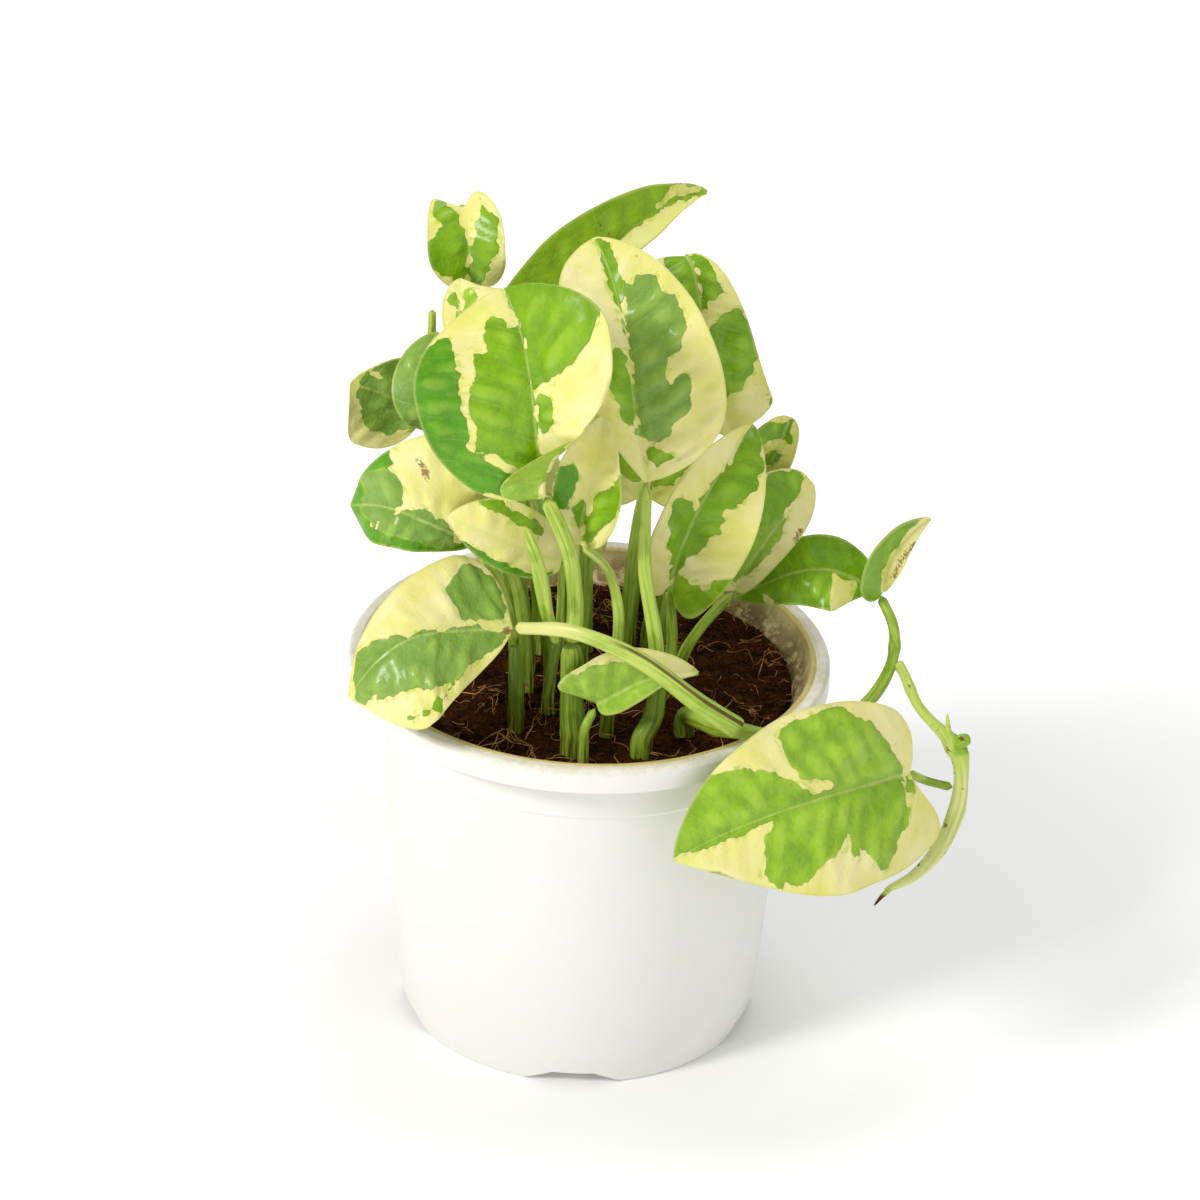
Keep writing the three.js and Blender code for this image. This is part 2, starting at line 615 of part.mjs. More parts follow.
addPiece("pot", potGeometry(), potPlastic());
addPiece("soil", soilGeometry(), soilMix());
for (const [name, { path, radii }] of Object.entries(STEMS)) {
  const points = path.map((p) => new THREE.Vector3(...p));
  addPiece(name, stalkGeometry(points, radii), stalkGreen());
}
for (const [name, leaf] of Object.entries(LEAVES)) {
  addPiece(`${name}_blade`, bladeGeometry(leaf), leafGreen());
  if (leaf.stalk) {
    addPiece(`${name}_stalk`, stalkGeometry(leafStalkPoints(leaf), leaf.girth), stalkGreen());
  }
}

export default plant;
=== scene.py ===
"""A variegated pothos in a white nursery pot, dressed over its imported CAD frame."""

import math

import bpy
import numpy as np
from mathutils import Matrix, Vector, noise


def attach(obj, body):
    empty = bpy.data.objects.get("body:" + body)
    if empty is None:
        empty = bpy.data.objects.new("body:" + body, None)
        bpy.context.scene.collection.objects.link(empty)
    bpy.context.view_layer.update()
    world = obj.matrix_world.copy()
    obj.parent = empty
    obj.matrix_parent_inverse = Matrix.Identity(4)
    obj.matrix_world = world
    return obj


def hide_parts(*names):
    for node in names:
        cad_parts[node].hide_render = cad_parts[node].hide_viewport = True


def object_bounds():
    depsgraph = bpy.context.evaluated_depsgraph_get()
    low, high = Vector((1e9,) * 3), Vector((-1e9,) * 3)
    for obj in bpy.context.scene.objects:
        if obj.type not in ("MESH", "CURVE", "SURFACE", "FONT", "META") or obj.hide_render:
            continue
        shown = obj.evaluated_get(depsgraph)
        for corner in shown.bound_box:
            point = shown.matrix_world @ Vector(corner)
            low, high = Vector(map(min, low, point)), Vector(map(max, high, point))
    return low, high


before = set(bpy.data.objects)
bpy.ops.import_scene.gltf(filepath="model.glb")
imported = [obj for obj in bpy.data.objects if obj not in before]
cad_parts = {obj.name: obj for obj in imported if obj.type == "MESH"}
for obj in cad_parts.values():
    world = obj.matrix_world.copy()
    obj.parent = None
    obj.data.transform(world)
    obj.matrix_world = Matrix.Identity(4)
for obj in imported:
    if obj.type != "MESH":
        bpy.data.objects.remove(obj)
cad_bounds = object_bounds()

# ---- pot ------------------------------------------------------------------------------------
# A thin nursery pot, moulded in white plastic: a hollow lip with a shallow groove on top, a small
# step ring below it and a tapered wall. Soil dust, together with a painted yellow-green bounce light
# from the leaves, tints the lip and the inside.
MM = 0.001
POT_AXIS = (-15.5, 2.5, 0.0)  # everything below is measured from the pot's own axis, in millimetres
POT_HEIGHT = 91
POT_SIDES = 180
WALL_FOOT = 41.5  # radius of the wall's outside, carried down to the ground
WALL_FLARE = 7.1  # how much wider that is at the full height
WALL = 1.1
FLOOR_TOP, FLOOR_UNDER = 4.7, 3.6
CORNER = 0.3  # radius of the moulded corners
POT_CREASE = 35  # edges of the pot that turn by more degrees than this stay crisp
FOOT_GAPS = 5  # notches in the foot, each with a drain hole behind it
NOTCH_OUTLINE = ((-13.7, -1), (13.7, -1), (4.75, 3), (-4.75, 3))
NOTCH_REACH = (-45, -32.8)  # from outside the foot to inside it
HOLE_RADIUS, HOLE_PLACE, HOLE_SIDES = 4, 28, 32
HOLE_TURN = 0.1  # keeps the hole's corners off the lines of the pot's own grid
PINHOLE = 0.02  # radius left open on the pot's axis, where its grid would come to a point


def mesh_object(name, points, faces, smooth_below=None):
    """An object from points measured from the pot's axis; edges sharper than smooth_below stay crisp."""
    mesh = bpy.data.meshes.new(name)
    placed = (np.asarray(points, float).reshape(-1, 3) + POT_AXIS) * MM
    mesh.from_pydata(placed.tolist(), [], faces)
    mesh.shade_smooth()
    if smooth_below:
        mesh.set_sharp_from_angle(angle=math.radians(smooth_below))
    made = bpy.data.objects.new(name, mesh)
    bpy.context.scene.collection.objects.link(made)
    return made


def grid_faces(rows, columns, closed_rows=False, closed_columns=False):
    """The quads of a grid whose points are listed row by row."""
    faces = []
    for i in range(rows if closed_rows else rows - 1):
        below = (i + 1) % rows
        for j in range(columns if closed_columns else columns - 1):
            k = (j + 1) % columns
            faces.append((i * columns + j, i * columns + k, below * columns + k, below * columns + j))
    return faces


def tube_faces(rows, sides):
    """The faces of a tube of rings, closed by a face at each end."""
    last = (rows - 1) * sides
    ends = [tuple(reversed(range(sides))), tuple(range(last, last + sides))]
    return grid_faces(rows, sides, closed_columns=True) + ends


def rounded(profile, radius):
    """The closed profile with each corner replaced by a short arc of three points."""
    result = []
    for i, corner in enumerate(profile):
        corner = np.array(corner, float)
        ways = [np.array(profile[i - 1]) - corner, np.array(profile[(i + 1) % len(profile)]) - corner]
        before, after = (corner + w * min(0.4, radius / np.linalg.norm(w)) for w in ways)
        result += [before, (before + after + 2 * corner) / 4, after]
    return result


class Value:
    """A number worked out inside a material; Python's operators add the Math nodes for it."""

    def __init__(self, paint, socket):
        self.paint = paint
        self.socket = socket

    def math(self, operation, *others, clamp=False):
        inputs = dict(enumerate([self, *others]))
        return self.paint.node("ShaderNodeMath", {"operation": operation, "use_clamp": clamp}, inputs)

    def swapped(self, operation, other):
        return self.paint.node("ShaderNodeMath", {"operation": operation}, {0: other, 1: self})

    def __add__(self, other):
        return self.math("ADD", other)

    def __sub__(self, other):
        return self.math("SUBTRACT", other)

    def __mul__(self, other):
        return self.math("MULTIPLY", other)

    def __truediv__(self, other):
        return self.math("DIVIDE", other)

    def __radd__(self, other):
        return self.swapped("ADD", other)

    def __rsub__(self, other):
        return self.swapped("SUBTRACT", other)

    def __rmul__(self, other):
        return self.swapped("MULTIPLY", other)

    def __abs__(self):
        return self.math("ABSOLUTE")

    def clamp(self):
        return self.math("ADD", 0.0, clamp=True)

    def above(self, edge, width):
        """Rises softly from 0 to 1 as the value passes the edge."""
        return ((self - edge) / width + 0.5).clamp()

    def wave(self):
        """A triangle wave of the value: 0 at whole numbers and 1 halfway between them."""
        return self.math("PINGPONG", 0.5) * 2.0


class Paint:
    """A procedural material on one principled shader."""

    def __init__(self, name, **constants):
        self.material = bpy.data.materials.new(name)
        self.material.use_nodes = True
        self.tree = self.material.node_tree
        self.shader = self.tree.nodes["Principled BSDF"]
        for socket, value in constants.items():
            self.shader.inputs[socket.replace("_", " ")].default_value = value

    def node(self, kind, settings, inputs, output=0):
        """Adds a node: its type, its settings, then the values or links of its sockets."""
        made = self.tree.nodes.new(kind)
        for setting, value in settings.items():
            setattr(made, setting, value)
        for socket, value in inputs.items():
            self.connect(made.inputs[socket], value)
        return Value(self, made.outputs[output])

    def connect(self, socket, value):
        if isinstance(value, Value):
            self.tree.links.new(value.socket, socket)
        else:
            socket.default_value = value

    def shade(self, **inputs):
        for socket, value in inputs.items():
            self.connect(self.shader.inputs[socket.replace("_", " ")], value)

    def attribute(self, name, output="Fac"):
        return self.node("ShaderNodeAttribute", {"attribute_name": name}, {}, output)

    def millimetres(self):
        """The place on the piece, in millimetres from the pot's axis."""
        place = self.node("ShaderNodeTexCoord", {}, {}, "Object")
        scaled = self.node("ShaderNodeVectorMath", {"operation": "SCALE"}, {0: place, "Scale": 1 / MM})
        return self.node("ShaderNodeVectorMath", {"operation": "SUBTRACT"}, {0: scaled, 1: POT_AXIS})

    def parts(self, vector):
        split = self.node("ShaderNodeSeparateXYZ", {}, {0: vector})
        return [Value(self, split.socket.node.outputs[i]) for i in range(3)]

    def vector(self, x, y, z):
        return self.node("ShaderNodeCombineXYZ", {}, {0: x, 1: y, 2: z})

    def noise(self, vector, scale, detail=3.0, roughness=0.55):
        inputs = {"Vector": vector, "Scale": scale, "Detail": detail, "Roughness": roughness}
        return self.node("ShaderNodeTexNoise", {}, inputs)

    def mix(self, factor, low, high):
        return self.node("ShaderNodeMix", {"data_type": "RGBA"}, {0: factor, 6: low, 7: high}, 2)

    def bump(self, height, distance, strength=1.0):
        inputs = {"Height": height, "Distance": distance * MM, "Strength": strength}
        return self.node("ShaderNodeBump", {}, inputs)


def rgb(red, green, blue):
    """A display colour of 0 to 255 as the linear colour that a shader takes."""
    steps = [c / 255 for c in (red, green, blue)]
    return (*(c / 12.92 if c <= 0.04045 else ((c + 0.055) / 1.055) ** 2.4 for c in steps), 1.0)


def wall_radius(z):
    """Radius of the wall's outside at the height z."""
    return WALL_FOOT + WALL_FLARE * z / POT_HEIGHT


def pot_outline():
    """Radius and height of a cut through the pot: outside, lip, inside, floor and back to the foot."""
    foot = [(39.2, 0), (40.4, 0), (40.8, 0.6)]
    outside = [(wall_radius(z), z) for z in (8, 40, 74.5)]
    step_ring = [(wall_radius(75.3) + 0.7, 75.3), (48.4, 82.4)]
    lip = [(50.2, 86.3), (51.4, 89.6), (53.9, 89.6), (54, 85.5), (55, 85.5), (55, 90.2), (54.2, POT_HEIGHT)]
    lip += [(52.4, POT_HEIGHT), (52, 90.5), (51.5, POT_HEIGHT), (50.5, 90.7), (49.1, 86.5)]
    inside = [(wall_radius(80) - WALL, 83)] + [(wall_radius(z) - WALL, z) for z in (40, 8)]
    wall = rounded(foot + outside + step_ring + lip + inside + [(38.4, FLOOR_TOP)], CORNER)
    floor = [(38.2, FLOOR_TOP), (PINHOLE, FLOOR_TOP), (PINHOLE, FLOOR_UNDER), (39.1, FLOOR_UNDER)]
    return wall[:-1] + floor


def notch_cutter(turn):
    """A wedge that cuts one notch out of the foot."""
    points = [turn @ Vector((x, y, z)) for y in NOTCH_REACH for x, z in NOTCH_OUTLINE]
    sides = [(4, 5, 1, 0), (5, 6, 2, 1), (6, 7, 3, 2), (7, 4, 0, 3)]
    return mesh_object("notch_cutter", points, [(0, 1, 2, 3), (7, 6, 5, 4), *sides])


def drain_cutter(turn):
    """A rod that cuts one drain hole through the floor."""
    angles = np.linspace(HOLE_TURN, 2 * np.pi + HOLE_TURN, HOLE_SIDES, endpoint=False)
    ring = [(HOLE_RADIUS * math.cos(a), HOLE_RADIUS * math.sin(a) - HOLE_PLACE) for a in angles]
    points = [turn @ Vector((x, y, z)) for z in (0, 8) for x, y in ring]
    return mesh_object("drain_cutter", points, tube_faces(2, HOLE_SIDES))


def build_pot():
    outline = pot_outline()
    turns = np.linspace(0, 2 * np.pi, POT_SIDES, endpoint=False)
    rings = [[(r * math.cos(t), r * math.sin(t), z) for r, z in outline] for t in turns]
    made = mesh_object("nursery_pot", rings, grid_faces(POT_SIDES, len(outline), True, True))
    tools = []
    for n in range(FOOT_GAPS):
        turn = Matrix.Rotation(2 * math.pi * n / FOOT_GAPS, 3, "Z")
        tools += [notch_cutter(turn), drain_cutter(turn)]
    for tool in tools:
        cut = made.modifiers.new("cut", "BOOLEAN")
        cut.operation = "DIFFERENCE"
        cut.object = tool
    evaluated = made.evaluated_get(bpy.context.evaluated_depsgraph_get())
    solid = bpy.data.meshes.new_from_object(evaluated)
    made.modifiers.clear()
    made.data = solid
    solid.shade_smooth()
    solid.set_sharp_from_angle(angle=math.radians(POT_CREASE))
    for tool in tools:
        bpy.data.objects.remove(tool)
    return made


def pot_plastic():
    paint = Paint("pot_plastic", Specular_IOR_Level=0.4, Subsurface_Weight=0.12, Subsurface_Scale=0.002)
    place = paint.millimetres()
    x, y, z = paint.parts(place)
    radius = (x * x + y * y).math("SQRT")
    cloud = paint.noise(place, 0.03, 2.0)
    dirt_and_bounce_blotches = paint.noise(place, 0.35, 5.0, 0.7)
    speckle = paint.noise(place, 1.6, 2.0)
    white = paint.mix(cloud, rgb(243, 241, 234), rgb(238, 237, 232))
    skin_limit = WALL_FOOT - 0.5 + z * (WALL_FLARE / POT_HEIGHT) + (z - 82.6).math("MAXIMUM", 0.0) * 0.46
    inside = (skin_limit - radius).above(0, 0.3) * z.above(76, 8)
    lip = z.above(90.2, 0.8) * (0.12 + 0.25 * dirt_and_bounce_blotches.above(0.52, 0.12))
    # The yellow tint on the inner wall and the lip is partly soil dust and partly painted bounce light from
    # the leaves.
    dust_and_bounce = paint.mix((inside * (0.6 + 0.5 * dirt_and_bounce_blotches) + lip).clamp(), white, rgb(206, 186, 116))
    soil_line = (88.0 - z).above(0, 4) * inside * dirt_and_bounce_blotches.above(0.47, 0.1)
    spots = speckle.above(0.7, 0.03) * (inside + 0.25 * z.above(88, 2)).clamp()
    colour = paint.mix((0.75 * soil_line + spots).clamp(), dust_and_bounce, rgb(120, 92, 62))
    paint.shade(Base_Color=colour, Roughness=0.38 + 0.16 * dirt_and_bounce_blotches)
    fine = paint.noise(place, 0.9, 2.0)
    paint.shade(Normal=paint.bump(fine * 0.6 + cloud * 2.0, 0.12, 0.5))
    return paint.material


pot = build_pot()
pot.data.materials.clear()
pot.data.materials.append(pot_plastic())
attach(pot, "root")
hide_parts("pot")

# ---- soil -----------------------------------------------------------------------------------
# Damp coconut-fibre mix filled to 7 mm below the lip: one rough body, with loose crumbs and dry tan
# fibres lying on it. The crumbs and fibres are scattered by node trees with fixed seeds.
SOIL_RINGS = 70
SOIL_SIDES = 200
SOIL_LEVEL = 84
SOIL_EDGE = 45.9
SOIL_FOOT = ((1.5, 5.2), (37.6, 5.2), (40.4, 8.4), (SOIL_EDGE, 80.5))  # radius and height, below the top
LITTER_REACH = 47.2  # radius that crumbs and fibres are kept within
FIBRES = {  # seed, fibres per square metre, then length, radius and rise of the middle in millimetres
    "fine_fibres": (23, 3.0e4, 8, 0.08, 2.5),
    "long_fibres": (31, 3.5e3, 17, 0.12, 9),
}


def soil_height(x, y):
    return SOIL_LEVEL + 0.03 * x + 0.6 * math.cos(x / 9) * math.sin(y / 11)


def soil_relief(x, y):
    """The height of the rough surface; it flattens towards the wall."""
    rough = noise.fractal(Vector((x / 6, y / 6, 2.0)), 0.8, 2.1, 5)
    lumps = noise.noise(Vector((x / 11, y / 11, 7.0)))
    fade = min(1.0, (SOIL_EDGE - math.hypot(x, y)) / 3)
    return soil_height(x, y) + (0.75 * rough + 0.9 * lumps) * fade - 0.3


def build_soil():
    rings = []
    turns = np.linspace(0, 2 * np.pi, SOIL_SIDES, endpoint=False)
    for radius, z in SOIL_FOOT:
        rings.append([(radius * math.cos(t), radius * math.sin(t), z) for t in turns])
    for n in range(SOIL_RINGS):
        radius = SOIL_EDGE + (0.3 - SOIL_EDGE) * n / (SOIL_RINGS - 1)
        flat = [(radius * math.cos(t), radius * math.sin(t)) for t in turns]
        rings.append([(x, y, soil_relief(x, y)) for x, y in flat])
    return mesh_object("soil_body", rings, tube_faces(len(rings), SOIL_SIDES))


def soil_mix():
    paint = Paint("coir_soil", Specular_IOR_Level=0.08)
    place = paint.millimetres()
    coarse = paint.noise(place, 0.22, 3.0)
    grain = paint.noise(place, 1.3, 5.0, 0.7)
    x, y, z = paint.parts(place)
    strands = paint.noise(paint.vector(x * 0.5, y * 2.6, z), 0.9, 4.0, 0.65)
    dark = paint.mix(coarse.above(0.5, 0.25), rgb(34, 16, 4), rgb(74, 38, 12))
    mixed = paint.mix(strands.above(0.58, 0.1) * 0.6, dark, rgb(122, 70, 28))
    flecked = paint.mix(grain.above(0.68, 0.06), mixed, rgb(150, 94, 44))
    paint.shade(Base_Color=flecked, Roughness=0.85 + 0.1 * grain)
    paint.shade(Normal=paint.bump(grain + strands, 0.7))
    return paint.material


class Nodes:
    """A Geometry Nodes tree that is written line by line."""

    def __init__(self, name):
        self.tree = bpy.data.node_groups.new(name, "GeometryNodeTree")
        self.tree.interface.new_socket("Geometry", in_out="INPUT", socket_type="NodeSocketGeometry")
        self.tree.interface.new_socket("Geometry", in_out="OUTPUT", socket_type="NodeSocketGeometry")
        self.start = self.tree.nodes.new("NodeGroupInput")
        self.end = self.tree.nodes.new("NodeGroupOutput")
        self.values = {}

    def number(self, name, value, kind="NodeSocketFloat"):
        """A named input of the tree, with the value that this plant uses."""
        made = self.tree.interface.new_socket(name, in_out="INPUT", socket_type=kind)
        self.values[made.identifier] = value
        return self.start.outputs[name]

    def add(self, kind, settings, inputs, output=0):
        made = self.tree.nodes.new(kind)
        for setting, value in settings.items():
            setattr(made, setting, value)
        for socket, value in inputs.items():
            if isinstance(value, bpy.types.NodeSocket):
                self.tree.links.new(value, made.inputs[socket])
            else:
                made.inputs[socket].default_value = value
        return made.outputs[output]

    def random(self, kind, low, high, seed):
        """A random number or vector for each point or instance."""
        first, last, out = {"FLOAT_VECTOR": (0, 1, 0), "FLOAT": (2, 3, 1)}[kind]
        inputs = {first: low, last: high, "Seed": seed}
        return self.add("FunctionNodeRandomValue", {"data_type": kind}, inputs, out)

    def finish(self, geometry, material):
        """Realizes what the tree made and gives it its material."""
        real = self.add("GeometryNodeRealizeInstances", {}, {0: geometry})
        done = self.add("GeometryNodeSetMaterial", {}, {"Geometry": real, "Material": material})
        self.tree.links.new(done, self.end.inputs[0])

    def run(self, name, source):
        """Runs the tree on a copy of the source's mesh and returns a plain mesh object."""
        made = bpy.data.objects.new(name, source.data.copy())
        bpy.context.scene.collection.objects.link(made)
        modifier = made.modifiers.new("grow", "NODES")
        modifier.node_group = self.tree
        for identifier, value in self.values.items():
            modifier[identifier] = value
        evaluated = made.evaluated_get(bpy.context.evaluated_depsgraph_get())
        plain = bpy.data.meshes.new_from_object(evaluated)
        made.modifiers.clear()
        made.data = plain
        plain.shade_smooth()
        return made


def scattered(tree, density, seed, low):
    """Points on the upper side of the soil, kept off its wall and its underside."""
    place = tree.add("GeometryNodeInputPosition", {}, {})
    height = tree.add("ShaderNodeSeparateXYZ", {}, {0: place}, 2)
    top = tree.add("FunctionNodeCompare", {"data_type": "FLOAT"}, {0: height, 1: low * MM})
    inputs = {"Mesh": tree.start.outputs[0], "Selection": top, "Density": density, "Seed": seed}
    return tree.add("GeometryNodeDistributePointsOnFaces", {}, inputs)


def build_crumbs(source, material):
    tree = Nodes("soil_crumbs")
    density = tree.number("Crumbs per square metre", 1.05e6)
    size = tree.number("Crumb radius", 0.52 * MM)
    seed = tree.number("Seed", 11, "NodeSocketInt")
    points = scattered(tree, density, seed, 82)
    ball = tree.add("GeometryNodeMeshIcoSphere", {}, {"Radius": size, "Subdivisions": 1})
    turn = tree.random("FLOAT_VECTOR", (0, 0, 0), (6.28, 6.28, 6.28), seed)
    scale = tree.random("FLOAT_VECTOR", (0.35, 0.35, 0.25), (1.6, 1.1, 0.9), seed)
    inputs = {"Points": points, "Instance": ball, "Rotation": turn, "Scale": scale}
    tree.finish(tree.add("GeometryNodeInstanceOnPoints", {}, inputs), material)
    return tree.run("soil_crumbs", source)


def build_fibres(name, sizes, source, material):
    """Thin bent fibres: straight lines are laid at random, then bent by a noise field."""
    start, per_area, long, thick, rise = sizes
    tree = Nodes(name)
    density = tree.number("Fibres per square metre", per_area)
    length = tree.number("Fibre length", long * MM)
    width = tree.number("Fibre radius", thick * MM)
    lift = tree.number("Rise of the middle", rise * MM)
    seed = tree.number("Seed", start, "NodeSocketInt")
    points = scattered(tree, density, seed, 82.3)
    inputs = {"Direction": (1, 0, 0), "Length": length}
    line = tree.add("GeometryNodeCurvePrimitiveLine", {"mode": "DIRECTION"}, inputs)
    fine = tree.add("GeometryNodeResampleCurve", {}, {"Curve": line, "Count": 14})
    turn = tree.random("FLOAT_VECTOR", (0, -0.15, 0), (0, 0.1, 6.28), seed)
    scale = tree.random("FLOAT", 0.35, 1.2, seed)
    inputs = {"Points": points, "Instance": fine, "Rotation": turn, "Scale": scale}
    thrown = tree.add("GeometryNodeInstanceOnPoints", {}, inputs)
    laid = tree.add("GeometryNodeRealizeInstances", {}, {0: thrown})
    bend = tree.add("ShaderNodeTexNoise", {}, {"Scale": 190.0, "Detail": 1.0}, 1)
    centred = tree.add("ShaderNodeVectorMath", {"operation": "SUBTRACT"}, {0: bend, 1: (0.5, 0.5, 0.5)})
    inputs = {0: centred, 1: (0.016, 0.016, 0.007)}
    offset = tree.add("ShaderNodeVectorMath", {"operation": "MULTIPLY"}, inputs)
    along = tree.add("GeometryNodeSplineParameter", {}, {})
    arch = tree.add("ShaderNodeMath", {"operation": "PINGPONG"}, {0: along, 1: 0.5})
    raised = tree.add("ShaderNodeMath", {"operation": "MULTIPLY"}, {0: arch, 1: lift})
    up = tree.add("ShaderNodeCombineXYZ", {}, {2: raised})
    moved = tree.add("ShaderNodeVectorMath", {"operation": "ADD"}, {0: offset, 1: up})
    bent = tree.add("GeometryNodeSetPosition", {}, {"Geometry": laid, "Offset": moved})
    ring = tree.add("GeometryNodeCurvePrimitiveCircle", {}, {"Resolution": 4, "Radius": width})
    inputs = {"Curve": bent, "Profile Curve": ring, "Fill Caps": True}
    tree.finish(tree.add("GeometryNodeCurveToMesh", {}, inputs), material)
    return tree.run(name, source)


def inside_pot(made):
    """Pulls whatever was scattered past the wall back inside it."""
    count = len(made.data.vertices)
    flat = np.empty(count * 3, np.float32)
    made.data.vertices.foreach_get("co", flat)
    place = flat.reshape(-1, 3)
    offset = place[:, :2] - np.array(POT_AXIS[:2]) * MM
    reach = np.linalg.norm(offset, axis=1)
    pull = np.minimum(1, LITTER_REACH * MM / np.maximum(reach, 1e-9))
    place[:, :2] = np.array(POT_AXIS[:2]) * MM + offset * pull[:, None]
    made.data.vertices.foreach_set("co", place.ravel())


def fibre_coat():
    paint = Paint("dry_fibre", Specular_IOR_Level=0.15)
    tint = paint.noise(paint.millimetres(), 0.25, 2.0)
    tan = paint.mix(tint.above(0.5, 0.2), rgb(126, 74, 32), rgb(216, 164, 96))
    paint.shade(Base_Color=tan, Roughness=0.6 + 0.3 * tint)
    return paint.material


soil = build_soil()
soil.data.materials.append(soil_mix())
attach(soil, "root")
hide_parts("soil")
litter = [build_crumbs(soil, soil.data.materials[0])]
coat = fibre_coat()
litter += [build_fibres(name, sizes, soil, coat) for name, sizes in FIBRES.items()]
for loose in litter:
    inside_pot(loose)
    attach(loose, "root")

# ---- stems ----------------------------------------------------------------------------------
# Three thick stems, a cut stub and one rolled young leaf: fleshy green rods with paler and darker
# streaks along them, ringed with faint joints, scabbed brown where they leave the soil.
STALK_SIDES = 16
STALK_STEP = 1.2
GROOVE_SIDE = (0, -1, 0.3)  # the way that a stalk's groove faces
GROOVE_WIDTH = 0.55  # in radians
WOBBLE = 0.08  # how uneven a rod's thickness is, as a share of it
STALK_CREASE = 60
CAP = 0.6  # length of a rounded end, as a share of the radius
ROOTED = 1.8  # how far a stalk reaches into the soil
FRAME_INSET = 0.05  # stems and leaves stay this far inside the box of the CAD frame


def from_soil(x, y, *rest):
    """A path that leaves the soil upright, rooted just below its surface."""
    z = soil_height(x, y)
    return [(x, y, z - ROOTED), (x, y, z + 4.4), *rest]


def smooth_path(points, steps):
    """Places and directions along the centripetal curve through the points."""
    points = [np.array(p, float) for p in points]
    points = [2 * points[0] - points[1], *points, 2 * points[-1] - points[-2]]
    places = []
    for t in np.linspace(0, len(points) - 3, steps + 1):
        i = min(int(t), len(points) - 4)
        p0, p1, p2, p3 = points[i : i + 4]
        d0, d1, d2 = (math.sqrt(np.linalg.norm(b - a)) for a, b in ((p0, p1), (p1, p2), (p2, p3)))
        m1 = ((p1 - p0) / d0 - (p2 - p0) / (d0 + d1) + (p2 - p1) / d1) * d1
        m2 = ((p2 - p1) / d1 - (p3 - p1) / (d1 + d2) + (p3 - p2) / d2) * d1
        w = t - i
        cubic = 2 * p1 - 2 * p2 + m1 + m2
        square = -3 * p1 + 3 * p2 - 2 * m1 - m2
        places.append(p1 + m1 * w + square * w**2 + cubic * w**3)
    places = np.array(places)
    ways = np.gradient(places, axis=0)
    return places, ways / np.linalg.norm(ways, axis=1)[:, None]


def inside_frame(points):
    """The points, held just inside the box of the CAD frame."""
    low, high = (np.array(corner) / MM - POT_AXIS for corner in cad_bounds)
    return np.clip(np.asarray(points, float).reshape(-1, 3), low + FRAME_INSET, high - FRAME_INSET)


def sweep(name, points, radii, channel=0.0, swellings=(), blunt=0.25):
    """A rod along a smooth path, as thick as its radii in turn, with rounded ends.

    channel sinks a groove along the side that faces the front; swellings are (where, how much, how long)
    joints; blunt is the share of the radius that its end faces keep."""
    rough = sum(math.dist(a, b) for a, b in zip(points, points[1:]))
    steps = max(8, round(rough / STALK_STEP))
    places, ways = smooth_path(points, steps)
    turns = np.linspace(0, 2 * np.pi, STALK_SIDES, endpoint=False)
    rings, flat = [], []
    length = np.concatenate([[0], np.cumsum(np.linalg.norm(np.diff(places, axis=0), axis=1))])
    for i, (place, way) in enumerate(zip(places, ways)):
        side = np.cross(way, GROOVE_SIDE)
        side /= np.linalg.norm(side)
        out = np.cross(side, way)
        radius = np.interp(i / steps, np.linspace(0, 1, len(radii)), radii)
        for where, growth, extent in swellings:
            off = length[i] - where * length[-1]
            radius *= 1 + growth * math.exp(-((off / extent) ** 2))
        wobble = noise.noise(Vector((length[i] / 9, radii[0] * 7, len(name)))) * WOBBLE
        from_end = min(length[i], length[-1] - length[i]) / radius
        cap = math.sqrt(max(0.0, 1 - (1 - min(1, from_end / CAP)) ** 2)) * (1 - blunt) + blunt
        ring = []
        for turn in turns:
            from_front = min(abs(turn - np.pi / 2), 2 * np.pi - abs(turn - np.pi / 2))
            dent = 1 - channel * math.exp(-((from_front / GROOVE_WIDTH) ** 2)) + wobble
            ring.append(place + radius * dent * cap * (side * math.cos(turn) + out * math.sin(turn)))
            flat.append((turn * radius, length[i], turn))
        rings.append(ring)
    faces = [tuple(reversed(f)) for f in tube_faces(len(rings), STALK_SIDES)]
    made = mesh_object(name, inside_frame(rings), faces, STALK_CREASE)
    store(made, "along", "FLOAT_VECTOR", np.array(flat))
    return made


def store(made, name, kind, values):
    field = "value" if kind == "FLOAT" else "vector"
    layer = made.data.attributes.new(name, kind, "POINT")
    layer.data.foreach_set(field, np.asarray(values, np.float32).ravel())


